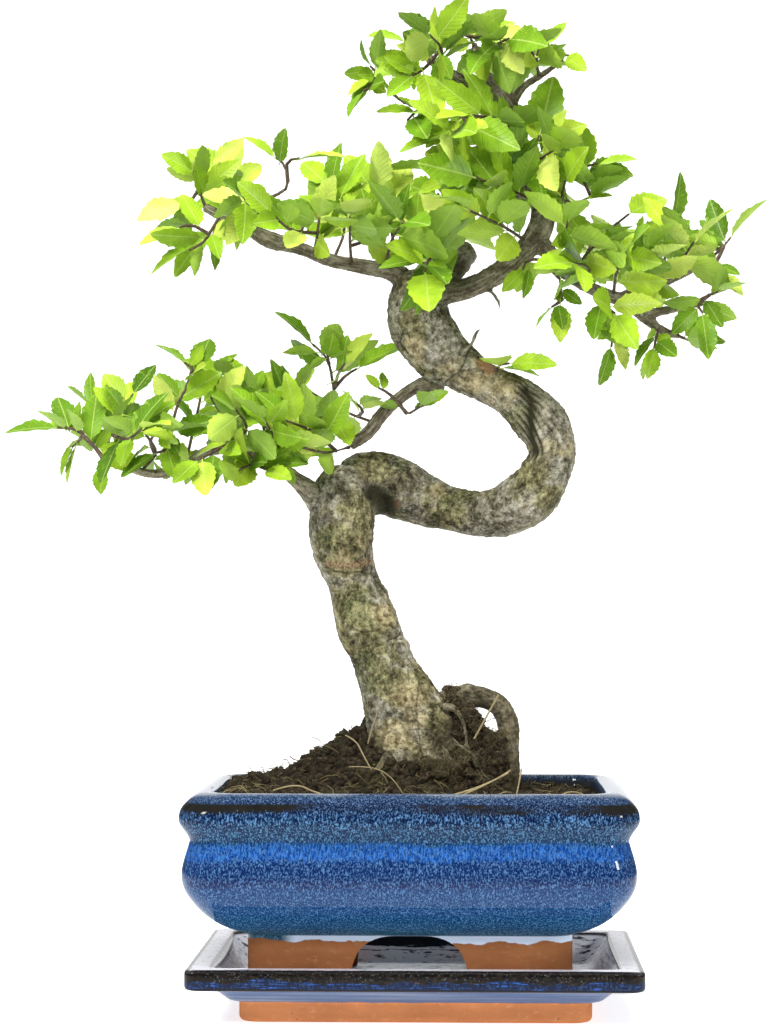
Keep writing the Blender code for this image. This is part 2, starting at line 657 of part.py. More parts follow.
def build_soil():
    """The filling of the pot. Its surface is drawn in from the wall to the trunk in rings."""
    rings = [pot_ring(inset, z + GAP, GAP, SOIL_SIDE_POINTS) for inset, z in reversed(POT_INSIDE[1:])]
    edge = pot_ring(POT_INSIDE[1][0], 0, GAP, SOIL_SIDE_POINTS)
    middle = Vector((6, 2, 0))
    for part in (0, 0.16, 0.32, 0.47, 0.61, 0.74, 0.88):
        ring = [Vector(point).lerp(middle, part) for point in edge]
        rings.append([(x, y, soil_height(x, y)) for x, y, _ in ring])
    earth = material("soil", (0.035, 0.022, 0.014), 0.95)
    soil = add_object("soil", *loft_shape(rings), earth)
    shade_round(soil)
    for name, stations, sides, step in ROOTS:
        line = smooth_route(stations, step)
        cut(soil, add_object(name + "_hole", *tube_shape(line, sides, LUMPS[name], HOLE_GAP)))


def mesh_tree(points, faces):
    return BVHTree.FromPolygons([Vector(point) for point in points], faces)


def build_trunk():
    """Trunk, surface roots and branches as one grown piece. It gives its points in millimetres and faces."""
    bark = material("bark", (0.2, 0.17, 0.12), 0.85)
    limbs = []
    for name, stations, sides, step in ROOTS + LIMBS:
        line = smooth_route(stations, step)
        limbs.append(add_object(name, *tube_shape(line, sides, LUMPS.get(name, LIMB_LUMPS)), bark))
    trunk = limbs[0]
    trunk.name = "trunk"
    fuse(trunk, limbs[1:])
    shade_round(trunk)
    points = [vertex.co / MM for vertex in trunk.data.vertices]
    return points, [tuple(face.vertices) for face in trunk.data.polygons]


def clear_of_bark(wood, centre, axis, radius):
    """Whether a twig's end stays the gap away from the bark."""
    across = axis.orthogonal().normalized()
    beside = axis.cross(across)
    rim = [centre]
    for k in range(8):
        turn = math.pi * k / 4
        rim.append(centre + (across * math.cos(turn) + beside * math.sin(turn)) * radius)
    for point in rim:
        nearest, normal, _, distance = wood.find_nearest(point)
        if distance < GAP or (point - nearest).dot(normal) < 0:
            return False
    return True


def seat_on_bark(wood, stations):
    """The stations of a twig with the first moved out of its limb, to just off the bark."""
    inner = Vector(stations[0])
    outer = Vector(stations[1])
    axis = (outer - inner).normalized()
    hit = wood.ray_cast(outer, -axis, (outer - inner).length)[0]
    start = hit or inner
    while not clear_of_bark(wood, start, axis, TWIG_ROOT_RADIUS):
        start = start + axis * 0.1
    return [tuple(start)] + stations[1:]


def twig_line(stations):
    """A smooth line of (x, y, z, radius) that thins towards the tip."""
    radii = np.linspace(TWIG_ROOT_RADIUS, TWIG_TIP_RADIUS, len(stations))
    return smooth_route([(*station, radius) for station, radius in zip(stations, radii)], TWIG_STEP)


def twig_lines(twigs, wood):
    """The lines of a spray's twigs. A side twig starts at the nearest point of the first one's axis."""
    lines = [twig_line(seat_on_bark(wood, twigs[0][3]))]
    for _, _, _, stations in twigs[1:]:
        offsets = np.linalg.norm(lines[0][:, :3] - np.array(stations[0]), axis=1)
        root = lines[0][int(offsets[1:].argmin()) + 1][:3]
        lines.append(twig_line([tuple(root)] + stations[1:]))
    return lines


def leaf_shape(length, half_width, arch, matrix, margin=0.0):
    """An arched blade with saw teeth and an even thickness. Its base is at the matrix's origin."""
    outline = LARGE_OUTLINE if length > LARGE_LEAF else SMALL_OUTLINE
    points = []
    for side in (1, -1):
        for along, across in outline:
            lift = side * (BLADE_THICKNESS / 2 + margin) - arch * length * along**2
            points.append(matrix @ Vector((along * (length + margin), across * (half_width + margin), lift)))
    count = len(outline)
    blade = [(0, 1, count - 1)]
    for k in range(1, count // 2 - 1):
        blade.append((k, k + 1, count - k - 1))
        blade.append((k, count - k - 1, count - k))
    blade.append((count // 2 - 1, count // 2, count // 2 + 1))
    faces = blade + [tuple(k + count for k in reversed(face)) for face in blade]
    for k in range(count):
        after = (k + 1) % count
        faces.append((k, count + k, count + after, after))
    return points, faces


def leaf_matrix(draw, base, ahead, side, spin):
    """Where a leaf sits: side is 1 or -1 along a twig and 0 at its tip, spin turns it round the twig."""
    facing = Vector([draw.gauss(mean, spread) for mean, spread in FACING])
    facing = (facing - ahead * facing.dot(ahead)).normalized()
    splay = math.radians(draw.gauss(*LEAF_SPLAY) * side + draw.gauss(0, LEAF_SWERVE))
    along = Matrix.Rotation(splay, 3, facing) @ ahead
    along = (along + Vector((0, 0, -draw.uniform(0, LEAF_DROOP)))).normalized()
    facing = Matrix.Rotation(math.radians(draw.gauss(0, LEAF_ROLL)), 3, along) @ facing
    turn = Matrix.Rotation(math.radians(spin), 3, ahead)
    along = turn @ along
    facing = turn @ facing
    across = facing.cross(along).normalized()
    facing = along.cross(across)
    matrix = Matrix((along, across, facing)).transposed().to_4x4()
    matrix.translation = base
    return matrix


def bounding_ball(points):
    centre = sum((Vector(point) for point in points), Vector()) / len(points)
    return centre, max((Vector(point) - centre).length for point in points)


class Obstacles:
    """Shapes that are already placed, each with a search tree and a bounding ball."""

    def __init__(self):
        self.shapes = []

    def add(self, points, faces, owner=None):
        self.shapes.append((*bounding_ball(points), mesh_tree(points, faces), owner))

    def meets(self, points, faces, owner):
        """Whether a shape crosses one that belongs to another owner."""
        centre, reach = bounding_ball(points)
        tree = mesh_tree(points, faces)
        for other_centre, other_reach, other_tree, other_owner in self.shapes:
            if other_owner == owner or (centre - other_centre).length > reach + other_reach:
                continue
            if tree.overlap(other_tree):
                return True
        return False


def place_leaves(name, twigs, lines, placed):
    """Alternate leaves along each twig and one at its tip, each where it is clear of the rest of the tree."""
    leaves = []
    for order, ((count, size, seed, _), line) in enumerate(zip(twigs, lines)):
        ahead = np.gradient(line[:, :3], axis=0)
        places = np.linspace(FIRST_LEAF_AT, 1, count) if count > 1 else [1]
        for number, place in enumerate(places):
            draw = random.Random(f"{seed} {name} {order} {number}")
            row = place * (len(line) - 1)
            base = Vector([np.interp(row, range(len(line)), line[:, k]) for k in range(3)])
            direction = Vector([np.interp(row, range(len(line)), ahead[:, k]) for k in range(3)]).normalized()
            last = number == count - 1
            side = 0 if last else (1 if number % 2 else -1)
            if last:
                base = base - direction * TIP_OVERLAP
            share = 1 if last else BASAL_LEAF + (1 - BASAL_LEAF) * math.sin(math.pi * place)
            length = size * draw.uniform(*LEAF_LENGTHS) * share
            half_width = length * draw.uniform(*LEAF_HALF_WIDTHS)
            arch = draw.uniform(*LEAF_ARCHES)
            own_seed = draw.random()
            for attempt, spin in enumerate(SPINS):
                scale = SHRINK**attempt
                matrix = leaf_matrix(random.Random(own_seed), base, direction, side, spin)
                leaf = (length * scale, half_width * scale, arch, matrix)
                too_high = (matrix @ Vector((length, 0, 0))).z > TREE_TOP
                if not too_high and not placed.meets(*leaf_shape(*leaf, GAP), (name, order)):
                    placed.add(*leaf_shape(*leaf))
                    leaves.append(leaf)
                    break
    return leaves


def build_sprays(wood_points, wood_faces):
    """Each spray is a twig, some with side twigs, with its leaves fused to it."""
    green = material("leaf", (0.13, 0.3, 0.03), 0.5)
    wood = mesh_tree(wood_points, wood_faces)
    placed = Obstacles()
    placed.add(wood_points, wood_faces)
    lines = {name: twig_lines(twigs, wood) for name, twigs in SPRAYS.items()}
    for name, spray_lines in lines.items():
        for order, line in enumerate(spray_lines):
            placed.add(*tube_shape(line, TWIG_SIDES, dome=0), (name, order))
    for name, twigs in SPRAYS.items():
        pieces = []
        for line in lines[name]:
            pieces.append(add_object(f"twig_{name}", *tube_shape(line, TWIG_SIDES, dome=0), green))
        for leaf in place_leaves(name, twigs, lines[name], placed):
            pieces.append(add_object(f"leaf_{name}", *leaf_shape(*leaf), green))
        pieces[0].name = f"spray_{name}"
        fuse(pieces[0], pieces[1:], "MANIFOLD")


build_tray()
build_pot()
build_soil()
build_sprays(*build_trunk())
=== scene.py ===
"""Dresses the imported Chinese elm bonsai, its glazed pot and its drip tray."""

import math
import random

import bmesh
import bpy
import numpy as np
from mathutils import Matrix, Vector, noise
from mathutils.bvhtree import BVHTree
from mathutils.kdtree import KDTree


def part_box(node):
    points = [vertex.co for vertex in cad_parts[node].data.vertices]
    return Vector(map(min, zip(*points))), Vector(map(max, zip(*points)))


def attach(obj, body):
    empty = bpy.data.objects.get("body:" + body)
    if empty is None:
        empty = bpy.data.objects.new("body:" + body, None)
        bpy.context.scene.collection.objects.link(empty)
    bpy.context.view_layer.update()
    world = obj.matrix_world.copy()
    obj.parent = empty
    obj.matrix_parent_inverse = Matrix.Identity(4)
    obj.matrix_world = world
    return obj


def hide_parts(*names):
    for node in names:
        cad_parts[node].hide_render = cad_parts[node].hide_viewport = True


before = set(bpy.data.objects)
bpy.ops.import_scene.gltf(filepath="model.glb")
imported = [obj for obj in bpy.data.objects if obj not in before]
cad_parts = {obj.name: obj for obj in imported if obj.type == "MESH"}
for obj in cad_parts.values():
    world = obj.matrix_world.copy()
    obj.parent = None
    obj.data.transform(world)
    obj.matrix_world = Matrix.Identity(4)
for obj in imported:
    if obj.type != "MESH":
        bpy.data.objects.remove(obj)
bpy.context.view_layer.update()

# Drip tray: a shallow saucer of terracotta with a flat rim, dipped in navy glaze that breaks to
# brown and black along its edge. It stands on its own bare foot, so nothing fixes it.
MM = 0.001
TRAY_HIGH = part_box("drip_tray")[1]
TRAY_HALF_WIDTH = TRAY_HIGH.x / MM
TRAY_HALF_DEPTH = TRAY_HIGH.y / MM
TRAY_TOP = TRAY_HIGH.z / MM
TRAY_FLOOR = 12
TRAY_FOOT_INSET = 22
TRAY_FOOT_TOP = 8.6
TRAY_CORNER = 5
TRAY_PROFILE = [
    (TRAY_FOOT_INSET + 1.2, 0), (TRAY_FOOT_INSET, 1.2), (TRAY_FOOT_INSET, 9), (18, 9.4), (11, 16),
    (1.2, 16.2), (0, 17.4), (0, TRAY_TOP - 1), (1, TRAY_TOP), (9.6, TRAY_TOP), (10.6, TRAY_TOP - 0.8),
    (18.6, TRAY_FLOOR + 1), (20.6, TRAY_FLOOR),
]
TRAY_BROWN_FROM = (20.2, 21.0)
TRAY_LIP_UNDER = (17.9, 17.3)
TRAY_BELLY_UNDER = (16.1, 16.5)
CLAY = (0.62, 0.25, 0.10)
CLAY_SHADE = (0.40, 0.15, 0.06)
CLAY_SMEAR = (0.72, 0.38, 0.20)
CLAY_SPECK = (0.16, 0.06, 0.03)
GLAZE_ROUGH = 0.07
CLAY_ROUGH = 0.85


def rounded_profile(points, radius, steps=4):
    """A profile whose bends are eased by a curve that starts at most a radius before each point."""
    eased = [points[0]]
    for before, at, after in zip(points, points[1:], points[2:]):
        before, at, after = Vector(before), Vector(at), Vector(after)
        start = at + (before - at) * min(0.5, radius / (before - at).length)
        end = at + (after - at) * min(0.5, radius / (after - at).length)
        for k in range(steps + 1):
            t = k / steps
            eased.append(tuple(start * (1 - t) ** 2 + at * 2 * t * (1 - t) + end * t**2))
    return eased + [points[-1]]


def rounded_ring(half_width, half_depth, corner, z, steps=10, on_sides=0):
    """Points round a rectangle with rounded corners, in millimetres, and a number of points on its sides."""
    ring = []
    for quarter, (side_x, side_y) in enumerate([(1, 1), (-1, 1), (-1, -1), (1, -1)]):
        for k in range(steps + 1):
            turn = math.radians(90 * quarter + 90 * k / steps)
            x = side_x * (half_width - corner) + corner * math.cos(turn)
            y = side_y * (half_depth - corner) + corner * math.sin(turn)
            ring.append(Vector((x, y, z)))
    full = []
    for k, start in enumerate(ring):
        full.append(start)
        if k % (steps + 1) == steps:
            end = ring[(k + 1) % len(ring)]
            full += [start.lerp(end, (i + 1) / (on_sides + 1)) for i in range(on_sides)]
    return full


def ring_faces(rings, count):
    """Four-cornered faces between neighbouring rings that have the same count of points."""
    faces = []
    for low in range(0, (rings - 1) * count, count):
        for k in range(count):
            after = (k + 1) % count
            faces.append((low + k, low + after, low + count + after, low + count + k))
    return faces


def loft(name, rings):
    """A closed piece through rings of equal count, with its first and last ring filled."""
    count = len(rings[0])
    points = [point * MM for ring in rings for point in ring]
    ends = [tuple(range(count)), tuple(range(len(points) - count, len(points)))]
    return add_piece(name, points, ends + ring_faces(len(rings), count))


def in_scene(name, data):
    """A new object in the scene with that mesh, curve, lamp or camera."""
    made = bpy.data.objects.new(name, data)
    bpy.context.scene.collection.objects.link(made)
    return made


def new_mesh(name, points, faces, edges=()):
    mesh = bpy.data.meshes.new(name)
    mesh.from_pydata(points, edges, faces)
    return mesh


def add_piece(name, points, faces):
    """An object from points in metres, with its faces turned outwards."""
    mesh = new_mesh(name, points, faces)
    shape = bmesh.new()
    shape.from_mesh(mesh)
    bmesh.ops.recalc_face_normals(shape, faces=shape.faces)
    shape.to_mesh(mesh)
    shape.free()
    return in_scene(name, mesh)


def smooth(mesh, sharp):
    """Shades a mesh smooth except at edges over the sharp angle, in degrees."""
    mesh.shade_smooth()
    mesh.set_sharp_from_angle(angle=math.radians(sharp))


def finish_piece(piece, slot, *nodes):
    """The piece stands for the CAD nodes and rides on the one body."""
    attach(piece, "root")
    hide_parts(*nodes)


def summing(operation, turned=False):
    """A function that adds the node for one kind of sum with a value."""
    def add(value, other=0.0):
        first, second = (other, value) if turned else (value, other)
        return node(value.tree, "Math", 0, {0: first, 1: second}, operation=operation)
    return add


class Shade:
    """A value, colour or place in a material's tree. A sum with it adds the node that works it out."""

    def __init__(self, socket):
        self.socket = socket
        self.tree = socket.id_data

    __add__ = __radd__ = summing("ADD")
    __sub__ = summing("SUBTRACT")
    __rsub__ = summing("SUBTRACT", True)
    __mul__ = __rmul__ = summing("MULTIPLY")
    __truediv__ = summing("DIVIDE")
    __abs__ = summing("ABSOLUTE")


larger = summing("MAXIMUM")
fraction = summing("FRACT")


def stretched(place, stretch):
    """A place or a colour times three numbers, or times one number for all three."""
    factors = stretch if isinstance(stretch, tuple) else (stretch,) * 3
    return node(place.tree, "VectorMath", 0, {0: place, 1: factors}, operation="MULTIPLY")


def shading(name):
    """A new material, its Principled shader and the object's coordinates in millimetres."""
    made = bpy.data.materials.new(name)
    made.use_nodes = True
    place = node(made.node_tree, "TexCoord", "Object", {})
    return made, made.node_tree.nodes["Principled BSDF"], stretched(place, 1 / MM)


def set_inputs(made, inputs):
    """Sets or links the inputs of a node."""
    for key, value in inputs.items():
        value = getattr(value, "socket", value)
        if isinstance(value, bpy.types.NodeSocket):
            made.id_data.links.new(value, made.inputs[key])
        else:
            made.inputs[key].default_value = value


def add_node(tree, kind, inputs, **settings):
    """Adds a node of that kind with its settings and inputs."""
    made = tree.nodes.new(kind)
    for key, value in settings.items():
        setattr(made, key, value)
    set_inputs(made, inputs)
    return made


def node(tree, kind, output, inputs, **settings):
    """Adds a shader node and gives one of its outputs, ready for sums."""
    return Shade(add_node(tree, "ShaderNode" + kind, inputs, **settings).outputs[output])


def coordinate(place, axis):
    """One of the three numbers of a place or a direction."""
    return node(place.tree, "SeparateXYZ", axis, {0: place})


def between(value, low, high):
    """0 where the value is at the low number and 1 at the high one, with a soft change between them."""
    inputs = {"Value": value, "From Min": low, "From Max": high}
    return node(value.tree, "MapRange", "Result", inputs, interpolation_type="SMOOTHSTEP")


def mixed(factor, first, second):
    """The first colour where the factor is 0 and the second where it is 1."""
    tree = next(value.tree for value in (factor, first) if isinstance(value, Shade))
    first, second = [value if isinstance(value, Shade) else (*value, 1) for value in (first, second)]
    return node(tree, "Mix", 2, {0: factor, 6: first, 7: second}, data_type="RGBA")


def grain(place, stretch, detail=2.0, rough=0.5):
    """Noise from 0 to 1 whose grains are about as wide as one over the stretch, in millimetres."""
    inputs = {"Vector": stretched(place, stretch), "Scale": 1.0, "Detail": detail, "Roughness": rough}
    return node(place.tree, "TexNoise", 0, inputs)


def ramp(factor, stops):
    """A colour that runs through (position, colour) stops."""
    made = add_node(factor.tree, "ShaderNodeValToRGB", {0: factor})
    bands = made.color_ramp.elements
    while len(bands) < len(stops):
        bands.new(0.5)
    for band, (position, colour) in zip(bands, stops):
        band.position = position
        band.color = (*colour, 1)
    return Shade(made.outputs[0])


def bumped(shader, height, distance):
    """Gives the shader a surface relief of that distance, in millimetres."""
    relief = node(height.tree, "Bump", 0, {"Height": height, "Distance": distance * MM, "Strength": 1.0})
    set_inputs(shader, {"Normal": relief})


def add_sockets(tree, way, sockets):
    """Gives a node tree its named inputs or outputs."""
    for name, kind in sockets.items():
        tree.interface.new_socket(name, in_out=way, socket_type="NodeSocket" + kind)


def fleck_group():
    """A node group for reactive glaze: fine light flecks that run down a wall, and long runs of colour."""
    group = bpy.data.node_groups.new("glaze_flecks", "ShaderNodeTree")
    add_sockets(group, "INPUT", {"Place": "Vector", "Fleck width": "Float"})
    add_sockets(group, "OUTPUT", {"Flecks": "Float", "Runs": "Float"})
    given = group.nodes.new("NodeGroupInput").outputs
    scaled = node(group, "VectorMath", 0, {0: given["Place"], 1: given["Fleck width"]}, operation="DIVIDE")
    fine = between(grain(scaled, (1, 1, 0.5), 3.0, 0.65), 0.49, 0.58)
    strength = 0.4 + between(grain(scaled, (0.42, 0.42, 0.25)), 0.36, 0.62) * 0.75
    runs = grain(scaled, (0.8, 0.8, 0.07))
    set_inputs(group.nodes.new("NodeGroupOutput"), {"Flecks": fine * strength, "Runs": runs})
    return group


def flecks(place, width):
    """The fleck group placed in a material, with its two outputs."""
    inputs = {"Place": place, "Fleck width": width}
    made = add_node(place.tree, "ShaderNodeGroup", inputs, node_tree=FLECKS)
    return Shade(made.outputs["Flecks"]), Shade(made.outputs["Runs"])


def terracotta(place):
    """The colour of bare terracotta: orange brown with paler smears and small dark specks."""
    clay = mixed(grain(place, (0.06, 0.06, 0.12), 3.0), CLAY, CLAY_SHADE)
    pale = between(grain(place, (0.3, 0.3, 0.5), 4.0), 0.55, 0.8)
    specks = between(grain(place, 0.9, 1.0), 0.74, 0.8)
    return mixed(specks, mixed(pale * 0.45, clay, CLAY_SMEAR), CLAY_SPECK)


def glazed_over_clay(shader, place, glaze, bare, relief, distance, gloss, shine, clay_light):
    """Joins a glaze's colour to bare terracotta where the mask says so. The gloss is the glaze's IOR."""
    clay = stretched(terracotta(place), clay_light)
    set_inputs(shader, {
        "Base Color": mixed(bare, glaze, clay), "Roughness": GLAZE_ROUGH + bare * (CLAY_ROUGH - GLAZE_ROUGH),
        "Coat Weight": (1.0 - bare) * shine, "Coat Roughness": 0.04, "Coat IOR": gloss,
        "Specular IOR Level": 0})
    bumped(shader, relief, distance)


FLECKS = fleck_group()


def tray_glaze():
    """Navy glaze, brown and black on the upper half of the rim and pale blue under it, over a bare foot."""
    made, shader, place = shading("tray_glaze")
    x, y, z = [coordinate(place, axis) for axis in range(3)]
    light, runs = flecks(place, 0.9)
    height = z + (grain(place, (0.09, 0.09, 0.3), 3.0) - 0.5) * 7.0
    mottle = between(grain(place, (0.5, 0.5, 0.8), 4.0), 0.4, 0.7)
    brown = mixed(mottle, (0.003, 0.0025, 0.0025), (0.014, 0.010, 0.007))
    dashes = between(grain(place, (0.12, 0.12, 2.0), 3.0, 0.6), 0.55, 0.66)
    blue = mixed(dashes * between(runs, 0.36, 0.5), (0.002, 0.006, 0.024), (0.016, 0.085, 0.38))
    blue = mixed(light * 0.16, blue, (0.05, 0.12, 0.28))
    specks = between(grain(place, 1.1, 2.0, 0.6), 0.60, 0.68)
    brown = mixed(specks * 0.4, brown, (0.12, 0.12, 0.12))
    rim = mixed(between(height, *TRAY_BROWN_FROM), blue, brown)
    rim = mixed(between(z, *TRAY_LIP_UNDER), rim, (0.004, 0.005, 0.008))
    haze = between(grain(place, (0.012, 0.012, 0.8), 3.0, 0.6), 0.38, 0.64)
    haze = mixed(haze, (0.07, 0.105, 0.20), (0.17, 0.20, 0.27))
    glaze = mixed(between(z, *TRAY_BELLY_UNDER), haze, rim)

    # Painted highlight: broken patches of grey on the flat top of the rim stand for light mirrored in the
    # glaze.
    ragged = grain(place, 0.25, 3.0) * 2.0
    from_edge = larger(abs(x) - TRAY_HALF_WIDTH, abs(y) - TRAY_HALF_DEPTH) + ragged
    on_top = between(z, TRAY_TOP - 0.7, TRAY_TOP - 0.1) * between(from_edge, -1.0, -2.2)
    highlight_patches = between(grain(place, (0.4, 0.25, 0.5), 4.0, 0.6), 0.22, 0.44)
    glaze = mixed(on_top * between(from_edge, -9.6, -8.8) * highlight_patches, glaze, (0.38, 0.38, 0.42))

    facing = coordinate(node(place.tree, "NewGeometry", "True Normal", {}), 2)
    inside = between(facing, 0.3, 0.6) * between(z, TRAY_TOP - 0.4, TRAY_TOP - 1.4)
    # Painted reflection and light: under the pot's shade, upward faces inside the tray get pale grey streaks
    # that stand for the white surroundings mirrored in the glaze.
    reflected_streaks = between(grain(place, (0.12, 0.5, 0.3), 5.0, 0.65), 0.36, 0.46)
    painted_inside = mixed(reflected_streaks * between(z, TRAY_TOP - 1, TRAY_TOP - 2), (0.05, 0.055, 0.06), (0.80, 0.82, 0.85))
    # Painted shade: a near-black band high on the back inner slope, behind the pot.
    rippled = z + grain(place, (0.06, 0.06, 0.6), 3.0, 0.6) * 4.0
    dark = larger(between(rippled, 20.6, 21.2), between(abs(rippled - 19.3), 0.3, 0.1))
    behind_pot = between(y, 30, 42) * between(abs(x), 70, 58)
    painted_inside = mixed(dark * behind_pot, painted_inside, (0.012, 0.014, 0.015))
    glaze = mixed(inside, glaze, painted_inside)

    edge = z + grain(place, (0.12, 0.12, 0.2), 3.0) * 1.2
    bare = between(edge, TRAY_FOOT_TOP + 1.0, TRAY_FOOT_TOP + 0.7) * between(facing, 0.5, 0.3)
    relief = grain(place, (0.12, 0.12, 0.3)) + grain(place, 1.5, 3.0) * bare * 0.6
    glazed_over_clay(shader, place, glaze, bare, relief, 0.35, 1.28, 0.75, 1.05)
    return made


def make_tray():
    rings = []
    for inset, z in rounded_profile(TRAY_PROFILE, 1.4):
        corner = TRAY_CORNER + 0.15 * inset
        rings.append(rounded_ring(TRAY_HALF_WIDTH - inset, TRAY_HALF_DEPTH - inset, corner, z))
    tray = loft("glazed_tray", rings)
    smooth(tray.data, 50)
    tray.data.materials.append(tray_glaze())
    finish_piece(tray, "tray_glaze", "drip_tray")


make_tray()

# Pot: slip-cast terracotta with a rolled rim, a waist and a full belly, in a cobalt glaze that
# streaks and breaks over the curves. Its bare foot ring has an arch in each long side.
POT_LOW, POT_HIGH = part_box("pot")
POT_X = (POT_LOW.x + POT_HIGH.x) / 2 / MM
POT_HALF_WIDTH = (POT_HIGH.x - POT_LOW.x) / 2 / MM
POT_HALF_DEPTH = POT_HIGH.y / MM
POT_BASE = POT_LOW.z / MM
POT_TOP = POT_HIGH.z / MM
POT_CORNER = 15
POT_UNDERSIDE = 38
POT_FLOOR = 45
POT_FOOT_INSET = 29
POT_FOOT_WALL = 7
DEPTH_PER_WIDTH = 25 / 29
ARCH_HALF_WIDTH = 26
DRAIN_X = 38
DRAIN_RADIUS = 6
DRAIN_SIDES = 32
ARCH = [(1.04, POT_BASE - 5), (1, 22), (0.86, 32), (0.5, 37.3), (0, 37.3)]
POT_OUTSIDE = [
    (POT_FOOT_INSET + POT_FOOT_WALL, POT_UNDERSIDE), (POT_FOOT_INSET + POT_FOOT_WALL, POT_BASE),
    (POT_FOOT_INSET + 0.8, POT_BASE), (POT_FOOT_INSET, POT_BASE + 1), (POT_FOOT_INSET, 37.2), (26.3, 38),
    (18.6, 41.1), (12.7, 45.2), (7.4, 50.5), (2.6, 57.5), (0.9, 64.5), (2.2, 71.4), (4.4, 78.4), (4.8, 80.4),
    (3, 83.7), (0.4, 87.2), (0, 90), (0.9, 94.2), (4.4, 98), (7.4, 99.9), (11, POT_TOP), (14.5, 100.6),
]
POT_INSIDE = [(15.5, 99), (17, 88), (15, 64), (21, 50), (35, POT_FLOOR)]
DARK_RIM_FROM = (92.2, 93.4)
DARK_RIM_TO = (97.2, 96.2)
INSIDE_FROM = (60, 65)
INSIDE_TO = (99.8, 97.5)
BARE_TO = (38.4, 37.9)

# Height, deep colour and fleck colour of the glaze up the wall. The rows at 37.5 and 41 are lighter as
# painted light on the belly's shaded underside, and the top row, at 101 on the rim's top, is a grey painted
# highlight.
GLAZE_BANDS = [
    (37.5, (0.010, 0.060, 0.105), (0.09, 0.22, 0.34)), (41, (0.004, 0.044, 0.110), (0.07, 0.19, 0.36)),
    (45, (0.001, 0.028, 0.085), (0.05, 0.16, 0.32)), (49, (0.001, 0.024, 0.088), (0.05, 0.15, 0.31)),
    (51, (0.001, 0.026, 0.100), (0.06, 0.15, 0.30)), (60, (0.001, 0.022, 0.095), (0.06, 0.14, 0.28)),
    (61.5, (0.001, 0.009, 0.055), (0.055, 0.13, 0.27)), (71, (0.001, 0.012, 0.068), (0.055, 0.13, 0.27)),
    (73.5, (0.001, 0.020, 0.105), (0.06, 0.14, 0.28)), (78.5, (0.001, 0.026, 0.120), (0.06, 0.15, 0.29)),
    (80, (0.001, 0.015, 0.055), (0.055, 0.16, 0.28)), (86, (0.001, 0.010, 0.042), (0.07, 0.18, 0.32)),
    (88, (0.001, 0.008, 0.036), (0.075, 0.18, 0.33)), (92, (0.001, 0.006, 0.030), (0.07, 0.16, 0.32)),
    (94, (0.001, 0.004, 0.018), (0.05, 0.10, 0.19)), (96, (0.002, 0.006, 0.022), (0.05, 0.09, 0.18)),
    (98, (0.003, 0.012, 0.040), (0.075, 0.13, 0.24)), (100.3, (0.010, 0.022, 0.055), (0.10, 0.15, 0.25)),
    (101, (0.10, 0.12, 0.145), (0.18, 0.21, 0.245)),
]


def pot_ring(inset, z, extra=0.0, steps=12, on_sides=0):
    """A ring of the pot: its insets from the rim are smaller in depth than in width."""
    half_width = POT_HALF_WIDTH - inset - extra
    half_depth = POT_HALF_DEPTH - DEPTH_PER_WIDTH * inset - extra
    corner = max(POT_CORNER - 0.12 * inset - extra, 3)
    ring = rounded_ring(half_width, half_depth, corner, z, steps, on_sides)
    return [point + Vector((POT_X, 0, 0)) for point in ring]


def pot_glaze():
    """Cobalt glaze whose bands, flecks and runs follow the height, with a brown-black rim and bare feet."""
    made, shader, place = shading("pot_glaze")
    x, y, z = [coordinate(place, axis) for axis in range(3)]
    light, runs = flecks(place, 0.58)
    wander = (grain(place, (0.035, 0.035, 0.02)) - 0.5) * 5.0
    height = z + wander + (runs - 0.5) * 6.0
    low = GLAZE_BANDS[0][0]
    high = GLAZE_BANDS[-1][0]
    share = (height - low) / (high - low)
    stops = [((band - low) / (high - low), deep, pale) for band, deep, pale in GLAZE_BANDS]
    deep = ramp(share, [(stop, colour) for stop, colour, _ in stops])
    pale = ramp(share, [(stop, colour) for stop, _, colour in stops])
    vivid = between(height, 71.5, 74.5) * between(height, 80.5, 78.5)
    streaks = between(grain(place, (1.1, 1.1, 0.09), 2.0, 0.6), 0.40, 0.64)
    bright = mixed(streaks, (0.001, 0.034, 0.18), (0.022, 0.112, 0.38))
    deep = mixed(vivid * between(runs, 0.36, 0.52), deep, bright)
    glaze = mixed(light * (1.0 - vivid * 0.3), deep, pale)

    across = abs((x - POT_X) / POT_HALF_WIDTH)
    along = abs(y / POT_HALF_DEPTH)
    corner = between(across * along, 0.865, 0.93)
    near_ends = between(across * 0.45 + grain(place, (0.03, 0.03, 0.1)), 0.52, 0.78)
    rim_dark = between(height, *DARK_RIM_FROM) * between(z, *DARK_RIM_TO) * near_ends
    olive = mixed(grain(place, (0.2, 0.2, 0.1)), (0.003, 0.004, 0.005), (0.015, 0.013, 0.009))
    glaze = mixed(larger(corner * 0.6, rim_dark), glaze, olive)
    within = between(across, 0.87, 0.855) * between(along, 0.84, 0.825)
    within = within * between(z, *INSIDE_TO) * between(z, *INSIDE_FROM)
    glaze = mixed(within, glaze, (0.016, 0.02, 0.026))

    edge = z + grain(place, (0.08, 0.08, 0.1), 3.0) * 7.0
    bare = between(edge, *BARE_TO) * between(z, 38.3, 37.6)
    # Painted reflection: the glaze just above the bare feet, except at the left end, is pale blue-white to
    # stand for white light mirrored there.
    reflection_strip = between(z, 37.8, 37.2) * between(x, -60, -52)
    glaze = mixed(reflection_strip, glaze, (0.60, 0.70, 0.85))
    relief = runs * 0.5 + grain(place, (0.25, 0.25, 0.12)) + grain(place, 1.2, 3.0) * bare
    waist = between(z, 77, 82) * between(z, 94, 90)
    shine = 0.3 + between(z, 40, 54) * 0.45 - waist * 0.3
    glazed_over_clay(shader, place, glaze, bare, relief, 0.16, 1.34, shine, 0.56)
    return made


